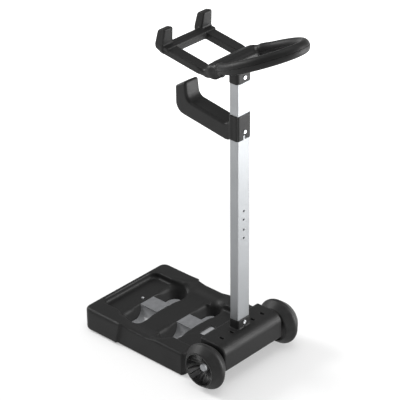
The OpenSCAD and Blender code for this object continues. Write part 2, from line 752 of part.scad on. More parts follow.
// Cross bar, cut at the back by the plane in which the handle meets it
loop_v0 = (bar_back - loop_y) / cos(loop_tilt);
join_y = bar_back;
join_z = loop_z - loop_v0 * sin(loop_tilt);
half_t = loop_t / 2;
bar_top_y = join_y + half_t * sin(loop_tilt);
bar_top_z = join_z + half_t * cos(loop_tilt);
bar_low_y = join_y - half_t * sin(loop_tilt);
bar_low_z = join_z - half_t * cos(loop_tilt);
module bar_side() polygon(rounded([
  [bar_low_y, bar_low_z, 0],
  [bar_low_y + 4, bar_z0, 4],
  [bar_front, bar_z0, 14],
  [bar_front, rack_z + arm_rise(bar_front) + 13, 16],
  [bar_top_y, bar_top_z, 0]
]));
// Bridge between the branches of the handle, over the post
bridge_x = loop_x - loop_s / 2 - 1;
bridge_back = collar_back - 3;
module bridge_side() polygon(rounded([
  [bridge_back, bar_low_z + 14, 4],
  [join_y, bar_low_z + 1, 0],
  [bar_front - 10, bar_low_z + 1, 0],
  [bar_front - 10, rack_z + 6, 0],
  [bar_top_y, bar_top_z - 4, 0],
  [bridge_back, bar_top_z + 4, 6]
]));
stub_l = 26;
// Moves to the handle's plane: X along the caddy's X, Y along the slope, Z square to it
module loop_plane() translate([0, loop_y, loop_z]) rotate([-loop_tilt, 0, 0]) children();
module stub(x) loop_plane() translate([x, loop_v0 - stub_l / 2 + 2, 0])
  cube([loop_s / 2, stub_l + 4, loop_t * 0.55], center = true);
stub_screw_v = loop_v0 - 14;
handle_screw_l = 20;
module head() color(black) in_place() difference() {
  union() {
    rack();
    across(bar_w) bar_side();
    across(2 * bridge_x) bridge_side();
    collar_solid(head_z0, post_top + 8);
    for (x = [-1, 1]) stub(x * loop_x);
  }
  collar_bore(head_z0 - 1, post_top + 1);
  back_hole(head_screw_z, post_screw_hole_d, collar_t + 2);
  for (x = [-1, 1]) loop_plane() translate([x * loop_x, stub_screw_v, -loop_t])
    cylinder(d = screw_hole_d, h = loop_t + 2);
}

// Handle loop: a section swept along a curve that lies in the handle's plane
loop_steps = 18;
section_steps = 12;
seam = 0.1;
function loop_curve(t) =
  pow(1 - t, 3) * [-loop_x, 0]
  + 3 * pow(1 - t, 2) * t * [-loop_x, -0.4 * loop_l]
  + 3 * (1 - t) * pow(t, 2) * [-0.82 * loop_x, -loop_l]
  + pow(t, 3) * [0, -loop_l];
loop_left = concat(
  [[-loop_x, loop_v0 - 2 * seam], [-loop_x, loop_v0 / 2]],
  [for (i = [0:loop_steps]) loop_curve(i / loop_steps)]
);
loop_path = concat(loop_left, [for (i = [len(loop_left) - 2:-1:0]) [-loop_left[i].x, loop_left[i].y]]);
function loop_dir(i) = unit(loop_path[min(i + 1, len(loop_path) - 1)] - loop_path[max(i - 1, 0)]);
// Half section as [across, height] points, outside first and then inside
function half_section(side) = concat(
  [for (k = [0:section_steps]) let(a = 180 * k / section_steps)
    [loop_s / 2 * cos(a), side * (half_t * sin(a) + seam)]],
  [for (k = [section_steps:-1:0]) let(a = 180 * k / section_steps)
    [(loop_s / 2 - shell_t) * cos(a), side * ((half_t - shell_t) * sin(a) + seam)]]
);
module loop_shell(side) {
  half = half_section(side);
  n = len(half);
  rings = len(loop_path);
  points = [for (i = [0:rings - 1], q = half)
    let(d = loop_dir(i))
    [loop_path[i].x + q.x * d.y, loop_path[i].y - q.x * d.x, q.y]];
  walls = [for (i = [0:rings - 2], k = [0:n - 1])
    let(a = i * n + k, b = i * n + (k + 1) % n)
    each [[a, b, b + n], [a, b + n, a + n]]];
  // Both ends are closed by strips between the outside and the inside of the section
  ends = [for (k = [0:section_steps - 1])
    let(a = k, b = k + 1, c = n - 2 - k, d = n - 1 - k, far = (rings - 1) * n)
    each [[c, b, a], [d, c, a], [far + a, far + b, far + c], [far + a, far + c, far + d]]];
  faces = concat(walls, ends);
  turned_faces = [for (f = faces) [for (k = [len(f) - 1:-1:0]) f[k]]];
  loop_plane() polyhedron(points, side > 0 ? faces : turned_faces);
}
module handle_upper() color(black) in_place() loop_shell(1);
module handle_lower() color(black) in_place() difference() {
  loop_shell(-1);
  for (x = [-1, 1]) loop_plane() translate([x * loop_x, stub_screw_v, -loop_t])
    cylinder(d = screw_hole_d, h = loop_t - 5, $fn = 16);
}
module handle_screws() color(steel) in_place() for (x = [-1, 1]) loop_plane()
  translate([x * loop_x, stub_screw_v, -half_t - seam]) rotate([180, 0, 0]) pan_screw(screw_d, handle_screw_l);

tray();
front_plate();
rear_plate();
lower_pan();
tray_screws();
feet();
axle_housing();
housing_screws();
axle_clamps();
clamp_screws();
axle();
left_rim();
right_rim();
left_tyre();
right_tyre();
left_bushes();
right_bushes();
spacers();
axle_caps();
post();
foot_screw();
hook();
hook_screw();
head();
head_screw();
handle_lower();
handle_upper();
handle_screws();
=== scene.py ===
"""Looks of the pool robot caddy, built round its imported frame.

Lengths in the classes are in millimetres. Along Y they are measured from the
axle, as in the part's source; make_piece moves them into the row frame.
"""

import json
import logging
from dataclasses import dataclass, field
from enum import Enum
from functools import cache
from math import acos, atan2, copysign, cos, dist, hypot, pi, radians, sin, sqrt, tan

import bmesh
import bpy
import numpy as np
from bpy.types import Material, Mesh, Node, Object
from mathutils import Matrix, Vector


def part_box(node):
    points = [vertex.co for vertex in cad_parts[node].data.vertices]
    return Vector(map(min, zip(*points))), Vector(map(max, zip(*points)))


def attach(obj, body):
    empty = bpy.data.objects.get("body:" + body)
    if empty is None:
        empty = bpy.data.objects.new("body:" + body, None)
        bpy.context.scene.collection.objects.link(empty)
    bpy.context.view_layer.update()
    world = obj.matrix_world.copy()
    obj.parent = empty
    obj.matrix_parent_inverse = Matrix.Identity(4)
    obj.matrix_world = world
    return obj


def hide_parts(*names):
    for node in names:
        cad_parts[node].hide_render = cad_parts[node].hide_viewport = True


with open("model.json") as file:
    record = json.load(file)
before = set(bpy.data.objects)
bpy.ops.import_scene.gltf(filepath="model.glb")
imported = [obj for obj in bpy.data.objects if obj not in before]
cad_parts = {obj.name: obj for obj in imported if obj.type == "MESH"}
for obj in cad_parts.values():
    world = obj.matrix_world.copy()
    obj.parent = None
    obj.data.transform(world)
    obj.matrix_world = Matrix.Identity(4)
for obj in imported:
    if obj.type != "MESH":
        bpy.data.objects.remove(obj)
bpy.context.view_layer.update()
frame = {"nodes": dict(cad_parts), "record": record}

logging.basicConfig(level=logging.INFO, format="%(message)s")
LOG = logging.getLogger("caddy")

MM = 0.001
AXLE_Y = sum(corner.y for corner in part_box("axle")) / 2 / MM
BODY = "frame"
# Sockets of a Map Range node for a noise texture, most of whose values lie between these
NOISE_SPAN = {"From Min": 0.3, "From Max": 0.7}
# Newton steps of a vertex, and the share of a cell that it may move
NEWTON_STEPS = 3
MAX_MOVE = 0.6

Array = np.ndarray
Pair = tuple[float, float]
Triple = tuple[float, float, float]
Corners = tuple[Triple, ...]
Socket = bpy.types.NodeSocket


class Side(Enum):
    """The two wheels, with the sign of their X."""

    LEFT = -1
    RIGHT = 1


def add_object(name: str, data: bpy.types.ID) -> Object:
    """Makes an object and puts it into the scene.

    Args:
        name: the object's name.
        data: its mesh, camera or lamp.

    Returns:
        The new object.
    """
    made = bpy.data.objects.new(name, data)
    bpy.context.scene.collection.objects.link(made)
    return made


# Finishes


def linear(code: str) -> tuple[float, float, float, float]:
    """Linear red, green, blue and an alpha of 1 of an sRGB colour such as "#33353a"."""
    levels = [int(code[i : i + 2], 16) / 255 for i in (1, 3, 5)]
    return (*[v / 12.92 if v <= 0.04045 else ((v + 0.055) / 1.055) ** 2.4 for v in levels], 1.0)


def noise_scale(size: float) -> float:
    """Scale of a noise texture whose lumps are about size millimetres across."""
    return 1000 / size / 2.5


class Nodes:
    """A new material's node tree and the object's coordinates in it."""

    def __init__(self, name: str) -> None:
        """Starts a material with a principled shader and the object's coordinates.

        Args:
            name: the material's name.
        """
        self.material = bpy.data.materials.new(name)
        self.material.use_nodes = True
        self.tree = self.material.node_tree
        self.place = self.add("TexCoord", "Object")

    def feed(self, node: Node, sockets: dict) -> None:
        """Sets or links the inputs of a node.

        Args:
            node: the node.
            sockets: input name or number to a value, or to an output socket to link.
        """
        for name, value in sockets.items():
            if isinstance(value, Socket):
                self.tree.links.new(value, node.inputs[name])
            else:
                node.inputs[name].default_value = value

    def add(self, kind: str, out: int | str, sockets: dict | None = None, **settings) -> Socket:
        """Adds a shader node with its settings, and sets or links its inputs.

        Args:
            kind: the node's type name without "ShaderNode".
            out: number or name of the output that is wanted.
            sockets: its inputs, as for feed.
            settings: properties of the node.

        Returns:
            The node's output socket.
        """
        made = self.tree.nodes.new("ShaderNode" + kind)
        for name, value in settings.items():
            setattr(made, name, value)
        self.feed(made, sockets or {})
        return made.outputs[out]

    def finish(self, sockets: dict) -> Material:
        """Feeds the principled shader and returns the material."""
        self.feed(self.tree.nodes["Principled BSDF"], sockets)
        return self.material


@dataclass(frozen=True)
class Moulding:
    """Injection-moulded thermoplastic: fine even grain, paler on worn edges."""

    name: str
    colour: str
    edge_colour: str
    roughness: float
    grain_mm: float
    grain_depth: float = 0.12
    mottle: float = 0.06
    wear: float = 0.5
    scratches: float = 0.0
    sheen: float = 0.25

    def build(self) -> Material:
        """Makes the material.

        Returns:
            The new material.
        """
        nodes = Nodes(self.name)
        place = nodes.place
        # Slow change of tone where the melt flowed, about 60 mm across
        flow = nodes.add("TexNoise", "Fac", {"Vector": place, "Scale": 16.0, "Detail": 3.0})
        grain = nodes.add("TexNoise", "Fac", {
            "Vector": place, "Scale": noise_scale(self.grain_mm), "Detail": 2.0,
            "Roughness": 0.6})
        shade = nodes.add("MapRange", 0, {
            "Value": flow, **NOISE_SPAN, "To Min": 1 - self.mottle, "To Max": 1 + self.mottle})
        speck = nodes.add("MapRange", 0, {
            "Value": grain, **NOISE_SPAN, "To Min": 0.94, "To Max": 1.06})
        tone = nodes.add("Math", 0, {0: shade, 1: speck}, operation="MULTIPLY")
        # Edges get rubbed in patches, which pales them a little
        pointed = nodes.add("NewGeometry", "Pointiness")
        edge = nodes.add("MapRange", 0, {
            "Value": pointed, "From Min": 0.51, "From Max": 0.60, "To Max": self.wear})
        patches = nodes.add("TexNoise", "Fac", {"Vector": place, "Scale": 70.0, "Detail": 4.0})
        patchy = nodes.add("MapRange", 0, {"Value": patches, "From Min": 0.35, "From Max": 0.7})
        rubbed = nodes.add("Math", 0, {0: edge, 1: patchy}, operation="MULTIPLY")
        colours = {6: linear(self.colour), 7: linear(self.edge_colour)}
        base = nodes.add("Mix", 2, {"Factor": rubbed, **colours}, data_type="RGBA")
        roughness = nodes.add("MapRange", 0, {
            "Value": flow, **NOISE_SPAN, "To Min": self.roughness - 0.05,
            "To Max": self.roughness + 0.06})
        if self.scratches:
            # Long fine marks from use, some 0.4 mm wide, in the robot's way over the tray
            stretched = nodes.add("Mapping", 0, {
                "Vector": place, "Rotation": (0.0, 0.0, 0.35), "Scale": (500.0, 9.0, 300.0)})
            lines = nodes.add("TexNoise", "Fac", {
                "Vector": stretched, "Scale": 1.0, "Detail": 2.0})
            marks = nodes.add("MapRange", 0, {
                "Value": lines, "From Min": 0.66, "From Max": 0.74, "To Max": self.scratches})
            roughness = nodes.add("Math", 0, {0: roughness, 1: marks}, operation="ADD")
        return nodes.finish({
            "Base Color": nodes.add("HueSaturation", 0, {"Color": base, "Value": tone}),
            "Roughness": roughness,
            "Normal": nodes.add("Bump", 0, {
                "Height": grain, "Strength": self.grain_depth, "Distance": 0.0006}),
            "IOR": 1.5,
            "Specular IOR Level": self.sheen})


@dataclass(frozen=True)
class Metal:
    """Metal with a fine drawn or ground grain along one axis."""

    name: str
    colour: str
    roughness: float
    line_mm: float
    stretch: Triple
    depth: float = 0.05

    def build(self) -> Material:
        """Makes the material.

        Returns:
            The new material.
        """
        nodes = Nodes(self.name)
        scale = noise_scale(self.line_mm)
        drawn = nodes.add("Mapping", 0, {
            "Vector": nodes.place, "Scale": tuple(scale * s for s in self.stretch)})
        lines = nodes.add("TexNoise", "Fac", {"Vector": drawn, "Scale": 1.0, "Detail": 3.0})
        cloud = nodes.add("TexNoise", "Fac", {
            "Vector": nodes.place, "Scale": 24.0, "Detail": 3.0})
        tone = nodes.add("MapRange", 0, {
            "Value": lines, **NOISE_SPAN, "To Min": 0.97, "To Max": 1.03})
        colour = {"Color": linear(self.colour), "Value": tone}
        return nodes.finish({
            "Base Color": nodes.add("HueSaturation", 0, colour),
            "Roughness": nodes.add("MapRange", 0, {
                "Value": cloud, **NOISE_SPAN, "To Min": self.roughness - 0.03,
                "To Max": self.roughness + 0.05}),
            "Normal": nodes.add("Bump", 0, {
                "Height": lines, "Strength": self.depth, "Distance": 0.0002}),
            "Metallic": 1.0})


@dataclass(frozen=True)
class Rubber:
    """Vulcanised rubber: matt and a little dusty."""

    name: str
    colour: str
    dust_colour: str
    roughness: float
    dust: float
    sheen: float = 0.32

    def build(self) -> Material:
        """Makes the material.

        Returns:
            The new material.
        """
        nodes = Nodes(self.name)
        cloud = nodes.add("TexNoise", "Fac", {
            "Vector": nodes.place, "Scale": 55.0, "Detail": 5.0})
        dust = nodes.add("MapRange", 0, {
            "Value": cloud, "From Min": 0.42, "From Max": 0.75, "To Max": self.dust})
        # Grain of the rubber is about 0.3 mm; drawn at 1 mm so that it shows
        pores = nodes.add("TexNoise", "Fac", {
            "Vector": nodes.place, "Scale": 420.0, "Detail": 2.0})
        colours = {6: linear(self.colour), 7: linear(self.dust_colour)}
        return nodes.finish({
            "Base Color": nodes.add("Mix", 2, {"Factor": dust, **colours}, data_type="RGBA"),
            "Roughness": self.roughness,
            "Normal": nodes.add("Bump", 0, {
                "Height": pores, "Strength": 0.15, "Distance": 0.0004}),
            "Specular IOR Level": self.sheen})


class Look(Enum):
    """The caddy's finishes, one for each way its parts are made."""

    # Grained ABS: soft wide highlights, no mirror image
    BLACK = Moulding("abs_black_grained", "#1f1f1f", "#333333", 0.45, 1.6, scratches=0.12,
                     sheen=0.18)
    # Nylon rims come smoother out of the mould than the covers
    RIM = Moulding("nylon_black_smooth", "#161616", "#5a5a5a", 0.36, 1.2, 0.08, sheen=0.5)
    # Smooth grey ABS: clean satin sheen
    GREY = Moulding("abs_grey_satin", "#666769", "#8b8c8e", 0.40, 1.2, 0.06, 0.03, 0.3)
    # The pan: the plates' grey plastic, glossier, and painted paler as painted light, since the
    # troughs shade it
    PAN = Moulding("abs_grey_glossy_painted_paler", "#8c8d8f", "#a2a3a5", 0.26, 1.2, 0.05, 0.03, 0.3,
                   sheen=0.6)
    # Wheel caps are painted silver
    CAP = Moulding("abs_silver_gloss", "#a9abae", "#c4c6c8", 0.28, 1.0, 0.03, 0.02, 0.2)
    # Matt anodised extrusion: bright, soft, with faint lines along its length
    TUBE = Metal("aluminium_anodised", "#949698", 0.46, 0.8, (1.0, 1.0, 0.02))
    # Zinc plated steel: brighter and cooler than the tube
    SCREW = Metal("steel_zinc_plated", "#cfd1d3", 0.46, 0.6, (1.0, 1.0, 1.0))
    # Ground steel, with its lines along the axle
    AXLE = Metal("steel_ground", "#9c9ea2", 0.30, 0.6, (0.02, 1.0, 1.0))
    # Tyres are black and worn matt, the feet are softer and paler
    TYRE = Rubber("rubber_tyre_matt", "#181818", "#2c2c2c", 0.52, 0.5)
    FOOT = Rubber("rubber_foot_matt", "#202122", "#3a3a3c", 0.7, 0.3)


SLOT_LOOK = {
    "black_plastic": Look.BLACK, "grey_plastic": Look.GREY, "aluminium_tube": Look.TUBE,
    "axle_steel": Look.AXLE, "screw_steel": Look.SCREW, "tyre_rubber": Look.TYRE,
    "foot_rubber": Look.FOOT, "cap_plastic": Look.CAP,
}


@cache
def finish(look: Look) -> Material:
    """Makes a finish once and returns it from then on."""
    return look.value.build()


# Surfaces of mouldings


class Grid:
    """Evenly spaced sample points of a box, as three open arrays in millimetres."""

    # Spare steps below the box and above it; the odd share keeps flat faces off the points
    BELOW = 2.37
    ABOVE = 3

    def __init__(self, low: tuple, high: tuple, step: float) -> None:
        """Sets the points out.

        Args:
            low: the box's lowest corner.
            high: the box's highest corner.
            step: distance between points.
        """
        self.step = step
        self.low = np.array(low, float) - self.BELOW * step
        counts = np.ceil((np.array(high) - self.low) / step + self.ABOVE).astype(int)
        lines = [(self.low[i] + step * np.arange(counts[i])).astype(np.float32) for i in range(3)]
        self.x, self.y, self.z = np.meshgrid(*lines, indexing="ij", sparse=True)
        self.shape = tuple(counts)


def slab(value: Array, low: float, high: float) -> Array:
    """Field of the space between two levels: |value - middle| less half the span."""
    return np.abs(value - (low + high) / 2) - (high - low) / 2


def common(a: Array, b: Array, r: float | Array) -> Array:
    """Intersection of two fields with a fillet of radius r, which may vary, on its edge.

    With u = a + r and v = b + r the field is the length of the positive parts of
    (u, v), plus the larger of the two where both are negative, less r.
    """
    u, v = a + r, b + r
    return np.minimum(np.maximum(u, v), 0) + np.hypot(np.maximum(u, 0), np.maximum(v, 0)) - r


def joined(a: Array, b: Array, r: float) -> Array:
    """Union of two fields with a hollow fillet of radius r between them."""
    return -common(-a, -b, r)


def cut(a: Array, b: Array, r: float | Array) -> Array:
    """Field a without field b, with the rim rounded to radius r."""
    return common(a, -b, r)


def smooth_step(t: Array) -> Array:
    """Smooth step: 3 t^2 - 2 t^3, with t held between 0 and 1."""
    t = np.clip(t, 0, 1)
    return t * t * (3 - 2 * t)


def turned(a: Array, b: Array, degrees: float) -> tuple[Array, Array]:
    """Coordinates a and b of points, turned from a towards b."""
    c, s = cos(radians(degrees)), sin(radians(degrees))
    return a * c - b * s, a * s + b * c


def averaged(values: Array, reach: int) -> Array:
    """Smoothed field: the mean over a box of 2 reach + 1 samples a side, taken twice.

    Args:
        values: the field at every sample point.
        reach: samples on each side of the middle one.

    Returns:
        The smoothed field.
    """
    shifts = range(-reach, reach + 1)
    for axis in (0, 1, 2) * 2:
        values = sum(np.roll(values, shift, axis) for shift in shifts) / len(shifts)
    return values


def box_outline(x: Array, y: Array, half_x: float, half_y: float, r: float) -> Array:
    """Field of a rectangle round the origin with corners of radius r."""
    return common(np.abs(x) - half_x, np.abs(y) - half_y, r)


def rounded_points(corners: Corners, steps: int = 8) -> Array:
    """Corners of a polygon, with an arc that touches both sides for each rounded one.

    Args:
        corners: (x, y, radius) of each corner in order.
        steps: edges in an arc.

    Returns:
        One row per point of the closed outline.
    """
    points = []
    for i, (cx, cy, r) in enumerate(corners):
        b = np.array((cx, cy), float)
        if r <= 0:
            points.append(b)
            continue
        u = np.array(corners[i - 1][:2]) - b
        w = np.array(corners[(i + 1) % len(corners)][:2]) - b
        u, w = u / np.linalg.norm(u), w / np.linalg.norm(w)
        half = acos(float(u @ w)) / 2
        centre = b + (u + w) / np.linalg.norm(u + w) * r / sin(half)
        start = b + u * r / tan(half) - centre
        stop = b + w * r / tan(half) - centre
        a0 = atan2(start[1], start[0])
        turn = (atan2(stop[1], stop[0]) - a0 + 3 * pi) % (2 * pi) - pi
        a = a0 + turn * np.arange(steps + 1) / steps
        points += list(centre + r * np.stack([np.cos(a), np.sin(a)], 1))
    return np.array(points)


def outline(x: Array, y: Array, corners: Corners) -> Array:
    """Signed distance to a polygon with rounded corners.

    The distance is the least over its short edges, and negative where a ray
    from the point crosses an odd number of them.

    Args:
        x: first coordinates of the points.
        y: second coordinates of the points.
        corners: (x, y, radius) of each corner in order.

    Returns:
        The field over the points.
    """
    points = rounded_points(corners)
    x, y = np.broadcast_arrays(x, y)
    least = np.full(x.shape, np.inf, np.float32)
    inside = np.zeros(x.shape, bool)
    for a, b in zip(points, np.roll(points, -1, 0)):
        edge = b - a
        wx, wy = x - a[0], y - a[1]
        t = np.clip((wx * edge[0] + wy * edge[1]) / max(float(edge @ edge), 1e-9), 0, 1)
        least = np.minimum(least, (wx - edge[0] * t) ** 2 + (wy - edge[1] * t) ** 2)
        up = (y >= a[1]) & (y < b[1]) & (edge[0] * wy > edge[1] * wx)
        down = (y < a[1]) & (y >= b[1]) & (edge[0] * wy <= edge[1] * wx)
        inside ^= up | down
    return np.where(inside, -1, 1) * np.sqrt(least)


def skin(grid: Grid, values: Array) -> tuple[Array, Array]:
    """Surface where a field is zero, by one vertex in each cell that it crosses.

    A cell's vertex starts at the mean of the crossings on its twelve edges and
    moves onto the surface by Newton steps along the field's slope. Four cells
    round each crossed edge share a face.

    Args:
        grid: the sample points.
        values: the field, negative inside the solid.

    Returns:
        Vertices in millimetres and faces of four vertex numbers.
    """
    f = np.ascontiguousarray(np.broadcast_to(values, grid.shape), np.float32)
    inside = f < 0
    offsets = np.array([(i, j, k) for i in (0, 1) for j in (0, 1) for k in (0, 1)])
    axes = np.eye(3, dtype=int)
    shape = np.array(f.shape) - 1
    count = sum(inside[i : i + shape[0], j : j + shape[1], k : k + shape[2]].astype(np.int8)
                for i, j, k in offsets)
    cells = np.argwhere((count > 0) & (count < 8))
    number = np.full(count.shape, -1, np.int64)
    number[tuple(cells.T)] = np.arange(len(cells))
    total = np.zeros((len(cells), 3))
    hits = np.zeros(len(cells))
    for axis in range(3):
        for start in offsets[offsets[:, axis] == 0]:
            a = f[tuple((cells + start).T)]
            b = f[tuple((cells + start + axes[axis]).T)]
            crossed = (a < 0) != (b < 0)
            share = a[crossed] / (a[crossed] - b[crossed])
            total[crossed] += start + share[:, None] * axes[axis]
            hits[crossed] += 1
    points = home = cells + total / hits[:, None]
    for _ in range(NEWTON_STEPS):
        base = np.clip(np.floor(points).astype(int), 0, shape - 1)
        t = points - base
        corner = np.array([f[tuple((base + o).T)] for o in offsets])
        weight = np.array([np.where(o, t, 1 - t) for o in offsets])
        value = (corner * weight.prod(2)).sum(0)
        slope = np.stack([
            (corner * np.where(offsets[:, axis], 1, -1)[:, None]
             * np.delete(weight, axis, 2).prod(2)).sum(0) for axis in range(3)], 1)
        move = value / np.maximum((slope ** 2).sum(1), 1e-6)
        points = home + np.clip(points - move[:, None] * slope - home, -MAX_MOVE, MAX_MOVE)
    faces = []
    for axis in range(3):
        across = [(axis + 1) % 3, (axis + 2) % 3]
        u, v = axes[across]
        first = np.take(inside, range(inside.shape[axis] - 1), axis)
        last = np.take(inside, range(1, inside.shape[axis]), axis)
        edges = np.argwhere(first != last)
        at = edges[:, across]
        edges = edges[((at > 0) & (at < shape[across])).all(1)]
        ring = np.stack([number[tuple((edges - o).T)] for o in (u + v, v, 0 * u, u)], 1)
        outward = first[tuple(edges.T)]
        faces.append(np.where(outward[:, None], ring, ring[:, ::-1]))
    return grid.low + points * grid.step, np.concatenate(faces)


def sheet_faces(rows: int, columns: int) -> Array:
    """Faces of a sheet of vertices, stored row by row, whose rows are closed rings.

    Args:
        rows: number of rows.
        columns: vertices in a row.

    Returns:
        Faces of four vertex numbers.
    """
    i, k = np.divmod(np.arange((rows - 1) * columns), columns)
    here, after = i * columns + k, i * columns + (k + 1) % columns
    return np.stack([here, after, after + columns, here + columns], 1)


def lathe(profile: Array, steps: int) -> tuple[Array, Array]:
    """Closed ring turned about the X axis.

    A point (r, x) of the profile goes to (x, r cos a, r sin a) for a whole turn of a.

    Args:
        profile: closed outline as rows of radius and distance along X.
        steps: number of places round the turn.

    Returns:
        Vertices and faces.
    """
    a = np.arange(steps) * 2 * pi / steps
    r, x = profile[:, :1], profile[:, 1:]
    points = np.stack([np.broadcast_to(x, (len(x), steps)), r * np.cos(a), r * np.sin(a)], 2)
    faces = sheet_faces(len(x) + 1, steps) % (len(x) * steps)
    return points.reshape(-1, 3), faces


def outward(piece: Object) -> None:
    """Turns the faces of a closed piece so that they point out of it.

    Args:
        piece: the object, whose mesh is changed.
    """
    mesh = bmesh.new()
    mesh.from_mesh(piece.data)
    bmesh.ops.recalc_face_normals(mesh, faces=mesh.faces)
    mesh.to_mesh(piece.data)
    mesh.free()


def make_piece(name: str, points: Array, faces: Array, node: str, look: Look = Look.BLACK,
               slot: str = "black_plastic", body: str = BODY,
               ends: list[Array] | None = None) -> Object:
    """Puts a surface into the scene as a piece of the caddy.

    Args:
        name: the piece's name.
        points: vertices in millimetres, along Y from the axle.
        faces: rows of four vertex numbers.
        node: CAD node that it stands for.
        look: its finish.
        slot: the record's material slot; not used.
        body: the body that it rides on.
        ends: vertex numbers of each face with more corners.

    Returns:
        The new object.
    """
    ends = ends or []
    placed = (points + (0, AXLE_Y, 0)) * MM
    corners = np.concatenate([faces.ravel(), *ends]).astype(np.int32)
    sizes = np.array([4] * len(faces) + [len(end) for end in ends], np.int32)
    mesh = bpy.data.meshes.new(name)
    mesh.vertices.add(len(placed))
    mesh.vertices.foreach_set("co", placed.astype(np.float32).ravel())
    mesh.loops.add(len(corners))
    mesh.loops.foreach_set("vertex_index", corners)
    mesh.polygons.add(len(sizes))
    mesh.polygons.foreach_set("loop_start", np.cumsum(sizes, dtype=np.int32) - sizes)
    mesh.polygons.foreach_set("loop_total", sizes)
    mesh.update(calc_edges=True)
    mesh.validate()
    mesh.shade_smooth()
    mesh.materials.append(finish(look))
    piece = add_object(name, mesh)
    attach(piece, body)
    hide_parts(node)
    LOG.info("%s: %d vertices, %d faces", name, len(mesh.vertices), len(mesh.polygons))
    return piece


# The caddy


@dataclass(frozen=True)
class Collar:
    """Sleeve of a moulding round the rectangular post, with screws at its back.

    Post holds the levels between which the post's place is cut, holes the height
    and radius of each screw's hole, outer and inner the half sizes and the corner
    of the sleeve and of the post's place.
    """

    low: float
    high: float
    fillet: float
    post: Pair
    holes: tuple[Pair, ...]
    post_y: float = 11.2
    outer: Triple = (27.75, 17.75, 8.5)
    inner: Triple = (25.1, 15.1, 3.6)
    edge: float = 1.5
    bore_edge: float = 0.6
    hole_edge: float = 0.4

    def fit(self, grid: Grid, solid: Array) -> Array:
        """Joins the sleeve to a moulding and cuts the post's place and the holes.

        Args:
            grid: the sample points.
            solid: field of the moulding.

        Returns:
            The new field.
        """
        y = grid.y - self.post_y
        sleeve = box_outline(grid.x, y, *self.outer)
        sleeve = common(sleeve, slab(grid.z, self.low, self.high), self.edge)
        bore = box_outline(grid.x, y, *self.inner)
        solid = joined(solid, sleeve, self.fillet)
        solid = cut(solid, np.maximum(bore, slab(grid.z, *self.post)), self.bore_edge)
        for z, r in self.holes:
            hole = np.maximum(np.hypot(grid.x, grid.z - z) - r, y + self.inner[1])
            solid = cut(solid, hole, self.hole_edge)
        return solid


@dataclass
class Hook:
    """Cable hook: a flat arm that leaves the collar, rises a little and turns up at its tip."""

    collar: Collar = Collar(727.0, 802.0, 2.0, (707.0, 822.0), ((751.0, 3.1),))
    width: float = 56.0
    reach: float = 224.5
    tip_h: float = 121.5
    tip_d: float = 38.5
    tip_slope: float = 24.0
    tip_draft: float = 7.0
    low: float = -11.5
    high: float = 40.0
    tilt: float = 9.0
    edge: float = 8.0
    # Slot in the collar's back: half sizes, corner, height and depth
    slot: Triple = (4.0, 9.0, 2.0)
    slot_z: float = 731.0
    slot_front: float = 2.0
    step: float = 1.6

    def build(self) -> None:
        """Makes the hook as the profile along X, joined to its collar."""
        collar = self.collar
        front = collar.post_y + collar.outer[1]
        rise = tan(radians(self.tilt))

        def arm(y: float, h: float) -> float:
            """Height of the arm's edge at y."""
            return collar.low + h + (y - collar.post_y) * rise

        tip_z = collar.low + self.tip_h
        inner = self.reach - self.tip_d
        half = self.width / 2
        grid = Grid((-half - 0.5, -8, collar.low - 10), (half + 0.5, self.reach, tip_z), self.step)
        side = outline(grid.y, grid.z, (
            (collar.post_y, collar.low, 0), (front - 9, collar.low, 24),
            (front + 8, arm(front + 8, self.low), 24),
            (self.reach, arm(self.reach, self.low), 34),
            (self.reach, tip_z - self.tip_slope, 6), (inner, tip_z, 6),
            (inner - self.tip_draft, arm(inner, self.high), 22),
            (front, arm(front, self.high), 14), (front, collar.high, 0),
            (collar.post_y, collar.high, 0)))
        solid = collar.fit(grid, common(side, np.abs(grid.x) - half, self.edge))
        slot = box_outline(grid.x, grid.z - self.slot_z, *self.slot)
        solid = cut(solid, np.maximum(slot, grid.y - self.slot_front), 0.5)
        make_piece("hook_moulding", *skin(grid, solid), "hook")


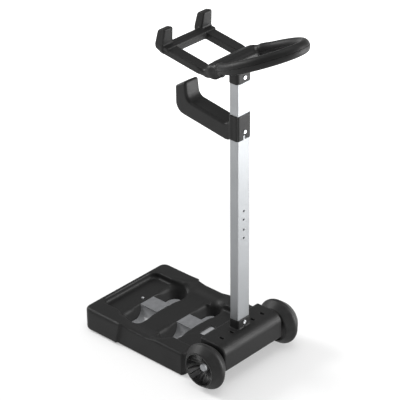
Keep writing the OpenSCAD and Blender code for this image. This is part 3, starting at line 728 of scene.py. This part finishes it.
@dataclass
class HandleLoop:
    """Loop of the handle: two shells that meet in the loop's plane, which rises to the back."""

    half_x: float = 80.5
    length: float = 216.5
    tilt: float = 24.9
    thick: float = 40.0
    wide: float = 28.0
    belly: float = 37.0
    lap: float = 10.0
    z: float = 958.0
    y: float = 6.0
    # Half gap at the seam, the shells' least height beside it and the gap's depth
    seam: float = 0.25
    seam_wall: float = 0.9
    seam_depth: float = 0.7
    # Share by which the end that lies in the head is slimmer
    sunk: float = 0.16
    # Where a shell gets slimmer: share, start behind the root and length
    slim_upper: Corners = ((0.13, 0.0, 45.0),)
    slim_lower: Corners = ((0.32, 0.0, 18.0), (-0.24, 20.0, 45.0))
    # Head's stub: span along the slope, and how its half width and half height differ
    stub: Pair = (-6.0, 44.0)
    stub_change: Pair = (-0.2, 0.4)
    stub_drop: float = 0.8
    stub_nose: float = 12.0
    stub_fillet: float = 3.0
    rings: int = 150
    section_points: int = 25

    def root(self, grid: Grid, solid: Array) -> Array:
        """Joins the stubs that carry the loop to the head's field.

        A stub is an elliptic rod along the loop's slope. Its field is (q - 1) times
        the loop's short half axis, where q is the length of the offsets across and
        square to the plane, each divided by its half axis.

        Args:
            grid: the sample points.
            solid: field of the head.

        Returns:
            The new field.
        """
        v, w = turned(grid.y - self.y, grid.z - self.z, self.tilt)
        q = np.hypot((np.abs(grid.x) - self.half_x) / (self.wide / 2 + self.stub_change[0]),
                     (w + self.stub_drop) / (self.thick / 2 + self.stub_change[1]))
        rod = common((q - 1) * self.wide / 2, v - self.stub[1], self.stub_nose)
        return joined(solid, common(rod, self.stub[0] - v, 0.5), self.stub_fillet)

    def path(self) -> Array:
        """Middle line in the loop's plane.

        It starts straight and follows a cubic curve to the far end, then its mirror image.

        Returns:
            Rows of the distance across and of the distance along the slope.
        """
        t = np.linspace(0, 1, self.rings // 2)[:, None]
        points = np.array([(-self.half_x, 0), (-self.half_x - self.belly, -0.36 * self.length),
                           (-0.92 * self.half_x, -self.length), (0, -self.length)])
        left = ((1 - t) ** 3 * points[0] + 3 * (1 - t) ** 2 * t * points[1]
                + 3 * (1 - t) * t ** 2 * points[2] + t ** 3 * points[3])
        left[0, 1] = self.lap
        return np.concatenate([left, left[-2::-1] * (-1, 1)])

    def slimness(self, side: int, reach: Array) -> Array:
        """Share of the full thickness behind the root, which changes in smooth steps.

        Args:
            side: 1 for the upper shell, -1 for the lower one.
            reach: distances behind the root.

        Returns:
            The share at each distance.
        """
        share = 1 - self.sunk * smooth_step(-reach / self.lap)
        for less, start, span in self.slim_upper if side > 0 else self.slim_lower:
            share = share - less * smooth_step((reach - start) / span)
        return share

    def shell(self, side: int) -> tuple[Array, Array, list[Array]]:
        """Sweeps half an ellipse along the middle line.

        A section point (p, h) at a place m with direction d goes to
        m + p (d_y, -d_x) in the plane and h square to it.

        Args:
            side: 1 for the upper shell, -1 for the lower one.

        Returns:
            Vertices, wall faces and the two end faces.
        """
        a = np.linspace(0, np.pi, self.section_points)
        half, rim = self.wide / 2, self.wide / 2 - self.seam_depth
        across = np.concatenate([[rim], half * np.cos(a), [-rim]])
        height = np.maximum(self.thick / 2 * np.sin(a), self.seam_wall) * side
        height = np.concatenate([[self.seam * side], height, [self.seam * side]])
        line = self.path()
        along = np.gradient(line, axis=0)
        along /= np.linalg.norm(along, axis=1)[:, None]
        across = across * (1 - self.sunk * smooth_step(line[:, 1] / self.lap))[:, None]
        flat_x = line[:, 0, None] + across * along[:, 1, None]
        flat_v = line[:, 1, None] - across * along[:, 0, None]
        flat_w = height * self.slimness(side, -line[:, 1])[:, None]
        y, z = turned(flat_v, flat_w, -self.tilt)
        points = np.stack([flat_x, self.y + y, self.z + z], 2).reshape(-1, 3)
        n = len(height)
        faces = sheet_faces(len(line), n)
        ends = [np.arange(n), (len(line) - 1) * n + np.arange(n)[::-1]]
        if side < 0:
            faces, ends = faces[:, ::-1], [end[::-1] for end in ends]
        return points, faces, ends

    def build(self) -> None:
        """Makes both shells."""
        for name, side in (("handle_upper", 1), ("handle_lower", -1)):
            points, faces, ends = self.shell(side)
            outward(make_piece(name + "_shell", points, faces, name, ends=ends))


@dataclass
class Head:
    """Cross bar with the rack in front, the collar below and the loop's stubs behind."""

    collar: Collar = Collar(896.0, 952.0, 3.0, (0.0, 936.0), ((912.0, 3.1),))
    box: Corners = ((-106, -16, 896), (106, 233, 1022))
    # Rack: limbs, and the front bar, which is raised and has a low ridge
    rack_z: float = 939.5
    tilt: float = 9.0
    rack_x: float = 92.5
    limb: float = 35.0
    thick: float = 22.5
    length: float = 221.0
    front_bar: float = 29.0
    bar_rise: float = 2.6
    bar_lap: float = 3.0
    ridge_rise: float = 0.8
    ridge: Pair = (13.0, 4.0)
    # Prongs: they taper upwards, and inwards below the rack's top
    prong_out: float = 17.5
    prong_h: float = 45.0
    prong_w: float = 38.0
    prong_t: float = 30.0
    prong_taper: float = 0.09
    prong_foot: Pair = (0.6, 11.0)
    lip: float = 4.5
    # Cross bar and bridge over the collar: sections as (y, z, radius)
    bar_x: float = 93.0
    bar_front: float = 62.0
    bar: Corners = ((13.4, 932.3, 4), (17.4, 925, 6), (62, 925, 15),
                    (62, 958.2, 17), (30.6, 968.4, 8))
    bridge_x: float = 66.0
    bridge: Corners = ((4, 940, 4), (22, 933.3, 0), (50, 933.3, 0),
                       (50, 943, 0), (30.6, 960, 0), (4, 962, 6))
    # Smoothed elbows: where that starts and over what length, outwards and backwards
    smooth_x: Pair = (52.0, 16.0)
    smooth_y: Pair = (84.0, 20.0)
    smooth_reach: int = 3
    # Free space beside the collar: half width, top, back and front
    pocket: tuple = (58.0, 938.0, -30.0, 44.0)
    edge: float = 3.5
    step: float = 1.6

    def rack(self, grid: Grid) -> Array:
        """Field of the rack, with v along its slope from the post and w square to it.

        Args:
            grid: the sample points.

        Returns:
            The field over the points.
        """
        v, w = turned(grid.y - self.collar.post_y, grid.z - self.rack_z, -self.tilt)
        ax = np.abs(grid.x)
        bar_edge = self.length - self.prong_out
        front = bar_edge - self.front_bar
        plan = common(ax - self.rack_x, slab(v, 30, bar_edge), 4)
        window = box_outline(grid.x, v - front / 2, self.rack_x - self.limb, front / 2, 4)
        solid = common(cut(plan, window, 2), slab(w, -self.thick, 0), self.edge)
        raised = common(slab(v, front - 1, bar_edge - 1), slab(w, -8, self.bar_rise), 1.5)
        solid = joined(solid, common(raised, ax - self.rack_x - self.bar_lap, 2), 1)
        inner = self.rack_x + self.lip - self.prong_w
        ridge = common(slab(v, front + self.ridge[0], bar_edge - self.ridge[1]),
                       w - self.bar_rise - self.ridge_rise, self.ridge_rise)
        ridge = np.maximum(np.maximum(ridge, -w), ax - inner - self.bar_lap)
        solid = joined(solid, ridge, 1)
        back = self.length - self.prong_t
        prong = outline(v, w, (
            (self.length, -self.thick, 24), (self.length - 3, self.prong_h - 2, 12),
            (back + 2, self.prong_h + 7, 5), (back, 0, 0), (back, -self.thick, 0)))
        slope, depth = self.prong_foot
        outer = (ax - self.rack_x - self.lip - 1 + self.prong_taper * np.maximum(w, 0)
                 + slope * np.maximum(-w - depth, 0))
        sides = np.maximum(inner - 2.5 + self.prong_taper * w - ax, outer)
        return joined(solid, common(prong, sides, 3), 4)

    def build(self) -> None:
        """Makes the head: rack, bar with its elbows, bridge, the loop's stubs and the collar."""
        grid = Grid(*self.box, self.step)
        ax = np.abs(grid.x)
        bar = outline(grid.y, grid.z, self.bar)
        elbow = outline(grid.x, grid.y, (
            (-self.bar_x, -60, 0), (self.bar_x, -60, 0),
            (self.bar_x, self.bar_front, 24), (-self.bar_x, self.bar_front, 24)))
        solid = joined(self.rack(grid), common(bar, elbow, 12), 6)
        bridge = outline(grid.y, grid.z, self.bridge)
        solid = joined(solid, common(bridge, ax - self.bridge_x, 4), 5)
        solid = HandleLoop().root(grid, solid)
        (x0, x_span), (y1, y_span) = self.smooth_x, self.smooth_y
        near_elbow = smooth_step((ax - x0) / x_span) * smooth_step((y1 - grid.y) / y_span)
        solid = solid + near_elbow * (averaged(solid, self.smooth_reach) - solid)
        half, top, back, front = self.pocket
        pocket = common(slab(ax, 0, half), np.maximum(grid.z - top, slab(grid.y, back, front)), 4)
        solid = self.collar.fit(grid, cut(solid, pocket, 5))
        make_piece("head_moulding", *skin(grid, solid), "head")


@dataclass
class AxleHousing:
    """Long housing over the axle, with a round upper edge at the back and the post's collar."""

    half_x: float = 123.6
    back: float = 42.7
    front: float = 52.0
    z0: float = 51.0
    deck: float = 129.0
    round_back: float = 30.0
    end_edge: float = 6.0
    wall: float = 3.0
    hollow_top: float = 66.0
    collar: Collar = Collar(73.0, 158.0, 3.5, (81.0, 400.0), ((145.3, 3.1), (132.3, 2.5)))
    # Oval holes in the deck: half sizes and corner, then their places and depth
    oval: Triple = (4.0, 8.5, 3.99)
    oval_x: Pair = (44.7, 86.3)
    oval_y: float = 2.6
    oval_depth: float = 22.0
    axle_z: float = 70.0
    axle_r: float = 6.3
    axle_depth: float = 4.0
    step: float = 1.6

    def build(self) -> None:
        """Makes the housing: its side profile along X with rounded ends, less the holes."""
        grid = Grid((-self.half_x, -self.back, self.z0),
                    (self.half_x, self.front, self.collar.high), self.step)
        ax = np.abs(grid.x)
        side = outline(grid.y, grid.z, (
            (-self.back, self.z0, 3), (self.front, self.z0, 2),
            (self.front, self.deck, 7), (-self.back, self.deck, self.round_back)))
        solid = common(side, ax - self.half_x, self.end_edge)
        hollow = np.maximum(ax - self.half_x + self.wall,
                            slab(grid.y, -self.back + self.wall, self.front - self.wall))
        solid = cut(solid, np.maximum(hollow, grid.z - self.hollow_top), 0.5)
        for x in self.oval_x:
            hole = box_outline(ax - x, grid.y - self.oval_y, *self.oval)
            solid = cut(solid, np.maximum(hole, self.deck - self.oval_depth - grid.z), 0.8)
        axle = np.maximum(np.hypot(grid.y, grid.z - self.axle_z) - self.axle_r,
                          self.half_x - self.axle_depth - ax)
        solid = self.collar.fit(grid, cut(solid, axle, 0.4))
        make_piece("housing_moulding", *skin(grid, solid), "axle_housing")


@dataclass
class Tray:
    """Tray with high rims at toe and heel, low rims between them and two troughs."""

    half_w: float = 172.5
    waist: float = 165.5
    toe: float = 474.0
    heel: float = 81.0
    toe_corner: float = 23.0
    wall: float = 3.0
    skirt: float = 2.5
    rim: float = 77.0
    saddle: float = 70.0
    floor: float = 57.0
    # Radii of the rim's upper and the skirt's lower edge, at the waist and at the toe
    waist_edges: Pair = (8.0, 3.0)
    toe_edges: Pair = (11.0, 9.0)
    # Shoulders lean between these places at the skirt and at the rim
    shoulder: Pair = (343.0, 324.0)
    basin_x: float = 112.0
    basin_draft: float = 0.06
    toe_wall: float = 16.0
    dish_span: float = 40.0
    # Planes that fall from the high rims: where they start and how they rise across and along
    ramp_y: Pair = (355.0, 165.0)
    ramp_slope: Pair = (0.449, 0.667)
    # Troughs: back, front, and the middle of the column at their ends
    troughs: tuple = ((313.0, 382.0, 116.0, 380.0), (176.0, 235.0, 110.0, 234.0))
    trough_x: float = 112.0
    trough_z: float = 17.0
    draft: float = 8.0
    # Radius of a trough's rim beside the plates and what it gains, from this X over this length
    trough_edge: Pair = (3.0, 11.0)
    soft_end: Pair = (40.0, 32.0)
    column_r: float = 6.75
    column_low: float = 8.0
    # Drain slot: middle along Y, half sizes and corner
    slot_y: float = 136.0
    slot: Triple = (26.0, 9.5, 3.5)
    slot_low: float = 50.0
    # Tongue under the housing, with the ledge that carries it
    tongue_x: float = 115.6
    tongue_y: float = -36.7
    tongue_z: Pair = (47.0, 51.0)
    ledge_y: float = 52.2
    tongue_lap: float = 6.0
    step: float = 2.67

    def rims(self, grid: Grid) -> Array:
        """Field of the outer block: plan with leaning shoulders, and rounded upper edges.

        Args:
            grid: the sample points.

        Returns:
            The field over the points.
        """
        ax = np.abs(grid.x)
        full = common(ax - self.half_w, slab(grid.y, self.heel, self.toe), self.toe_corner)
        lean = (self.shoulder[0] - self.shoulder[1]) / (self.rim - self.skirt)
        ahead = self.shoulder[0] - lean * (grid.z - self.skirt) - grid.y
        plan = np.maximum(full, joined(ax - self.waist, ahead / hypot(1, lean), 5))
        share = np.clip((grid.y - self.shoulder[1] - 6) / 24, 0, 1)
        upper, lower = (w + (t - w) * share for w, t in zip(self.waist_edges, self.toe_edges))
        return common(common(plan, grid.z - self.rim, upper), self.skirt - grid.z, lower)

    def hollows(self, grid: Grid, solid: Array) -> Array:
        """Cuts basin, low stretch and troughs.

        The low stretch lies over a dish, whose height rises from the floor at the
        basin's sides to the low rims, and over planes that fall from the rims.

        Args:
            grid: the sample points.
            solid: field of the outer block.

        Returns:
            The new field.
        """
        ax = np.abs(grid.x)
        half = (self.toe - self.toe_wall) / 2
        basin = box_outline(grid.x, grid.y - half, self.basin_x, half, 24)
        basin = common(basin - self.basin_draft * (grid.z - self.floor), self.floor - grid.z, 8)
        out = ax - self.basin_x
        low = self.floor + (self.saddle - self.floor) * smooth_step(out / self.dish_span) - grid.z
        across, along = self.ramp_slope
        for sign, y in zip((1, -1), self.ramp_y):
            ramp = self.rim + sign * along * (grid.y - y) + across * out
            low = common(low, (ramp - grid.z) / sqrt(1 + across ** 2 + along ** 2), 10)
        solid = cut(solid, joined(low, basin, 3), 5)
        edge, softer = self.trough_edge
        edge = edge + softer * smooth_step((ax - self.soft_end[0]) / self.soft_end[1])
        depth = (grid.z - self.trough_z) / (self.floor - self.trough_z)
        for y0, y1, cx, cy in self.troughs:
            half = (y1 - y0) / 2
            end = self.trough_x - half + self.draft
            r = half - self.draft + self.draft * depth
            stadium = np.hypot(np.maximum(ax - end, 0), grid.y - (y0 + y1) / 2) - r
            column = np.maximum(np.hypot(ax - cx, grid.y - cy) - self.column_r,
                                grid.z - self.floor + 1)
            solid = cut(solid, stadium, edge)
            solid = joined(solid, common(column, self.column_low - grid.z, 0), 1.5)
        return solid

    def build(self) -> None:
        """Makes the tray with the tongue under the housing and the recess for the pan."""
        grid = Grid((-self.half_w, -37, self.skirt), (self.half_w, self.toe, self.rim), self.step)
        ax = np.abs(grid.x)
        block = self.rims(grid)
        recess = np.maximum(block + self.wall, grid.z - self.trough_z)
        solid = cut(self.hollows(grid, block), recess, 0.5)
        slot = box_outline(grid.x, grid.y - self.slot_y, *self.slot)
        solid = cut(solid, np.maximum(slot, self.slot_low - grid.z), 0.8)
        lap_y = self.heel + self.tongue_lap
        low, high = self.tongue_z
        side = ax - self.tongue_x
        tongue = common(side, slab(grid.y, self.tongue_y, lap_y), 2)
        tongue = np.maximum(tongue, slab(grid.z, low, high))
        ledge = np.maximum(side, slab(grid.y, self.ledge_y, lap_y))
        ledge = np.maximum(ledge, slab(grid.z, low, self.floor))
        solid = joined(solid, np.minimum(tongue, ledge), 1)
        make_piece("tray_moulding", *skin(grid, solid), "tray")


@dataclass
class Wheel:
    """Wheel of one side: tyre, rim with thin spokes, on its own body."""

    side: Side
    middle: float = 157.2
    width: float = 56.0
    radius: float = 70.0
    centre_z: float = 70.0
    crown: float = 12.0
    bead: Pair = (0.1, 0.8)
    seat: float = 50.5
    open_r: float = 48.7
    lip: float = 0.6
    hub_r: float = 15.0
    bush_r: float = 9.1
    hub_in: float = 130.7
    hub_out: float = 161.5
    web: Pair = (138.7, 142.7)
    spokes: int = 18
    spoke_t: float = 2.4
    spoke_edge: float = 0.8
    spoke_ends: Pair = (160.5, 181.0)
    spoke_laps: Pair = (0.6, 0.5)
    turns: int = 128
    crown_points: int = 25
    long_edge: float = 3.0

    def piece(self, name: str, slot: str, points: Array, faces: Array,
              ends: list[Array] | None = None) -> None:
        """Places a part of the wheel, made round the axle's line for the right side.

        Args:
            name: "tyre" or "rim".
            slot: the record's material slot.
            points: vertices in millimetres, with the axle's line as X.
            faces: rows of four vertex numbers.
            ends: vertex numbers of each face with more corners.
        """
        word = self.side.name.lower()
        moved = (points + (0, 0, self.centre_z)) * (self.side.value, 1, 1)
        outward(make_piece(f"{word}_{name}_ring", moved, faces, f"{word}_{name}",
                           Look[name.upper()], slot, f"wheel_{word}", ends))

    def tyre(self) -> None:
        """Turns the tyre: straight shoulders that run into a round crown, with a bead."""
        half = self.width / 2
        bead, s = (self.seat + b for b in self.bead)
        c = self.radius - self.crown
        reach = atan2(half, s - c) - acos(self.crown / hypot(half, s - c))
        a = np.linspace(-reach, reach, self.crown_points)
        crown = np.stack([c + self.crown * np.cos(a), self.crown * np.sin(a)], 1)
        profile = np.concatenate([[(bead, -half), (s, -half)], crown, [(s, half), (bead, half)]])
        # Long edges get more points, so that they stay straight under smooth shading
        pieces = [np.linspace(p, q, 6 if dist(p, q) > self.long_edge else 1, endpoint=False)
                  for p, q in zip(profile, np.roll(profile, -1, 0))]
        profile = np.concatenate(pieces) + (0, self.middle)
        self.piece("tyre", "tyre_rubber", *lathe(profile, self.turns))

    def spoke_section(self, end: float) -> Array:
        """Rounded rectangle across a spoke, from the web out to a place along the axle.

        Args:
            end: the place where the spoke ends.

        Returns:
            Rows of the distance along the axle and across the spoke.
        """
        t, start = self.spoke_t / 2, self.web[1] - 1
        return rounded_points((
            (start, -t, 0), (end, -t, self.spoke_edge), (end, t, self.spoke_edge),
            (start, t, 0)), 3)

    def rim(self) -> None:
        """Turns barrel, web and hub as one profile, and sets the spokes round the hub."""
        half = self.width / 2
        lip, back = self.middle + half, self.middle - half
        lip_r = self.open_r - self.lip
        profile = rounded_points((
            (self.bush_r, self.hub_in, 0.5), (self.hub_r, self.hub_in, 1.0),
            (self.hub_r, self.web[0], 1.0), (self.open_r, self.web[0], 1.5),
            (self.open_r, back, 0.6), (self.seat, back, 0.6), (self.seat, lip, 0.8),
            (lip_r, lip, 0.8), (lip_r, lip - 3, 0.5), (self.open_r, lip - 4, 0.5),
            (self.open_r, self.web[1], 1.5), (self.hub_r, self.web[1], 1.5),
            (self.hub_r, self.hub_out, 1.0), (self.bush_r, self.hub_out, 0.5)), 3)
        points, faces = lathe(profile, self.turns)
        sections = np.stack([self.spoke_section(end) for end in self.spoke_ends])
        n = sections.shape[1]
        r = np.array([self.hub_r - self.spoke_laps[0], self.open_r + self.spoke_laps[1]])
        radii = np.broadcast_to(r[:, None, None], (2, n, 1))
        x, y, z = np.concatenate([sections, radii], 2).reshape(-1, 3).T
        a = ((np.arange(self.spokes) + 0.5) * 2 * pi / self.spokes)[:, None]
        around = np.stack([
            np.broadcast_to(x, (self.spokes, len(x))),
            y * np.cos(a) - z * np.sin(a), y * np.sin(a) + z * np.cos(a)], 2)
        start = len(points) + np.arange(self.spokes) * len(x)
        walls = (sheet_faces(2, n)[None] + start[:, None, None]).reshape(-1, 4)
        ends = [np.arange(n)[::-1] + s for s in start] + [np.arange(n) + n + s for s in start]
        self.piece("rim", "black_plastic", np.concatenate([points, around.reshape(-1, 3)]),
                   np.concatenate([faces, walls]), ends)

    def build(self) -> None:
        """Makes the tyre and the rim."""
        self.tyre()
        self.rim()


@dataclass
class Softened:
    """Copies of CAD nodes whose sharp edges get a small round."""

    widths: dict = field(default_factory=lambda: {
        "front_plate": 0.9, "rear_plate": 0.9, "lower_pan": 1.2, "axle_caps": 0.5,
        "tray_screws": 0.25, "foot_screw": 0.4, "hook_screw": 0.4, "head_screw": 0.4,
        "handle_screws": 0.25, "axle_clamps": 0.8, "feet": 1.2})
    steep: float = radians(34)
    flat: float = radians(0.6)
    weld: float = 1e-6
    block_top: float = 52.6
    groove: float = 2.4
    screw_in: float = 4.0
    screw_up: float = 1.6

    def sink(self, work: bmesh.types.BMesh) -> None:
        """Lowers the tops of the pan's blocks, so that a dark groove shows under the plates.

        Args:
            work: the pan's mesh.
        """
        for vert in work.verts:
            if vert.co.z > self.block_top * MM:
                vert.co.z -= self.groove * MM

    def seat(self, work: bmesh.types.BMesh) -> None:
        """Moves the loop's screws inwards and up to the slimmer lower shell.

        Args:
            work: the screws' mesh.
        """
        y, z = turned(0.0, self.screw_up, -HandleLoop.tilt)
        for vert in work.verts:
            vert.co += Vector((-copysign(self.screw_in, vert.co.x), y, z)) * MM

    def soften(self, node: str) -> Mesh:
        """Copies a node's mesh with its triangles merged to flat faces.

        Args:
            node: the CAD node's name.

        Returns:
            The new mesh.
        """
        mesh = frame["nodes"][node].data.copy()
        mesh.name = node + "_soft"
        work = bmesh.new()
        work.from_mesh(mesh)
        bmesh.ops.remove_doubles(work, verts=work.verts, dist=self.weld)
        if node == "lower_pan":
            self.sink(work)
        if node == "handle_screws":
            self.seat(work)
        bmesh.ops.dissolve_limit(work, angle_limit=self.flat, verts=work.verts, edges=work.edges)
        work.to_mesh(mesh)
        work.free()
        mesh.shade_smooth()
        mesh.set_sharp_from_angle(angle=self.steep)
        return mesh

    def build(self) -> None:
        """Makes each copy, with rounded edges and its slot's finish."""
        slots = {entry["node"]: entry["material_slot"] for entry in frame["record"]["subparts"]}
        for node, width in self.widths.items():
            mesh = self.soften(node)
            # The pan gets a paler copy of the grey plastic: painted light that stands in for what
            # its troughs shade
            look = Look.PAN if node == "lower_pan" else SLOT_LOOK[slots[node]]
            mesh.materials.clear()
            mesh.materials.append(finish(look))
            piece = add_object(mesh.name, mesh)
            edge = piece.modifiers.new("edge", "BEVEL")
            edge.width = width * MM
            edge.segments = 3
            edge.limit_method = "ANGLE"
            edge.angle_limit = self.steep
            edge.harden_normals = True
            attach(piece, BODY)
            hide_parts(node)
            LOG.info("%s: copied, edges rounded by %.2f mm", node, width)


def dress() -> None:
    """Gives each CAD node that stays the finish of its slot."""
    for entry in frame["record"]["subparts"]:
        node = frame["nodes"][entry["node"]]
        node.data.materials.clear()
        node.data.materials.append(finish(SLOT_LOOK[entry["material_slot"]]))
        LOG.info("%s keeps its mesh", entry["node"])


@dataclass(frozen=True)
class Lamp:
    """Soft rectangular lamp, with its lengths in metres and its power in watts."""

    name: str
    place: Triple
    aim: Triple
    size: Pair
    power: float
    shadow: bool = True

    def build(self) -> None:
        """Puts the lamp into the scene, so that it faces its aim."""
        data = bpy.data.lights.new(self.name, "AREA")
        data.use_shadow = self.shadow
        data.shape = "RECTANGLE"
        data.size, data.size_y = self.size
        data.energy = self.power
        lamp = add_object(self.name, data)
        lamp.location = self.place
        away = Vector(self.place) - Vector(self.aim)
        lamp.rotation_euler = away.to_track_quat("Z", "Y").to_euler()


# The first and last lamps cast the shadow on the floor; the others shape the highlights
LAMPS = (
    Lamp("soft_front_left", (-0.9, 2.7, 2.0), (0.0, 0.0, 0.1), (1.2, 1.2), 68.0),
    Lamp("soft_rear_right", (1.5, -1.9, 0.42), (0.0, -0.12, 0.4), (1.6, 0.84), 48.0, False),
    Lamp("soft_rear_high", (1.8, -2.0, 1.7), (0.0, 0.0, 0.3), (1.2, 1.2), 42.0, False),
    Lamp("soft_camera_side", (-1.7, -1.6, 1.4), (0.0, 0.0, 0.4), (1.6, 1.6), 5.0, False),
    Lamp("soft_above", (0.0, -0.3, 4.2), (0.0, 0.0, 0.5), (3.0, 3.0), 52.0),
)


@dataclass
class Studio:
    """Floor, light and camera, with the photograph's angle."""

    azimuth: float = 48.36
    elevation: float = 29.06
    distance: float = 5244.0
    focal_px: float = 1918.42
    centre_px: float = 238.03
    image_px: float = 400.0
    sensor_mm: float = 36.0
    clip_m: float = 50.0
    world_level: float = 0.4
    # Floor: half its side in metres, its colour, its lift near the caddy and where that grows
    floor_half: float = 12.0
    floor_colour: str = "#d4d4d4"
    floor_lift: float = 0.19
    floor_near: float = 0.85
    floor_far: float = 1.9
    target: Triple = (-19.56, 0.0, 546.75)

    def camera(self) -> None:
        """Makes the camera: it looks at the target from behind and to the left."""
        a, e = radians(self.azimuth), radians(self.elevation)
        back = Vector((-sin(a) * cos(e), -cos(a) * cos(e), sin(e)))
        right = Vector((cos(a), -sin(a), 0.0))
        up = back.cross(right)
        data = bpy.data.cameras.new("photo_view")
        data.sensor_width = self.sensor_mm
        data.lens = self.focal_px * self.sensor_mm / self.image_px
        data.shift_x = (self.image_px / 2 - self.centre_px) / self.image_px
        data.clip_end = self.clip_m
        eye = add_object("photo_view", data)
        where = (Vector(self.target) + self.distance * back + Vector((0, AXLE_Y, 0))) * MM
        turn = Matrix((right, up, back)).transposed().to_4x4()
        eye.matrix_world = Matrix.Translation(where) @ turn
        bpy.context.scene.camera = eye

    def light(self) -> None:
        """Sets the lamps and a grey world, which the camera doesn't see past the floor."""
        for lamp in LAMPS:
            lamp.build()
        world = bpy.data.worlds.new("studio")
        bpy.context.scene.world = world
        world.use_nodes = True
        back = world.node_tree.nodes["Background"]
        back.inputs["Color"].default_value = (1, 1, 1, 1)
        back.inputs["Strength"].default_value = self.world_level

    def floor(self) -> None:
        """Makes the pale floor, which keeps the shadow and is otherwise white to the camera."""
        mesh = bpy.data.meshes.new("floor")
        h = self.floor_half
        mesh.from_pydata([(-h, -h, 0), (h, -h, 0), (h, h, 0), (-h, h, 0)], [], [(0, 1, 2, 3)])
        nodes = Nodes("paper_white_sweep")
        seen = nodes.add("LightPath", "Is Camera Ray")
        for kind in ("Is Glossy Ray", "Is Transmission Ray"):
            ray = nodes.add("LightPath", kind)
            seen = nodes.add("Math", 0, {0: seen, 1: ray}, operation="ADD")
        # The lift grows to full white away from the caddy, where its shadow has ended
        reach = nodes.add("VectorMath", "Value", {0: nodes.place}, operation="LENGTH")
        level = nodes.add("MapRange", 0, {
            "Value": reach, "From Min": self.floor_near, "From Max": self.floor_far,
            "To Min": self.floor_lift, "To Max": 1.0})
        lift = {0: seen, 1: level}
        mesh.materials.append(nodes.finish({
            "Base Color": linear(self.floor_colour),
            "Roughness": 1.0,
            "Specular IOR Level": 0.0,
            "Emission Color": (1, 1, 1, 1),
            "Emission Strength": nodes.add("Math", 0, lift, operation="MULTIPLY",
                                           use_clamp=True)}))
        floor = add_object("floor", mesh)


def main() -> None:
    """Builds the studio and the caddy's sub-assemblies in order."""
    bpy.context.scene.view_settings.view_transform = "Standard"
    studio = Studio()
    studio.camera()
    studio.light()
    studio.floor()
    dress()
    for part in (Tray(), AxleHousing(), Hook(), Head(), HandleLoop(), Wheel(Side.LEFT),
                 Wheel(Side.RIGHT), Softened()):
        part.build()


if __name__ == "__main__":
    main()
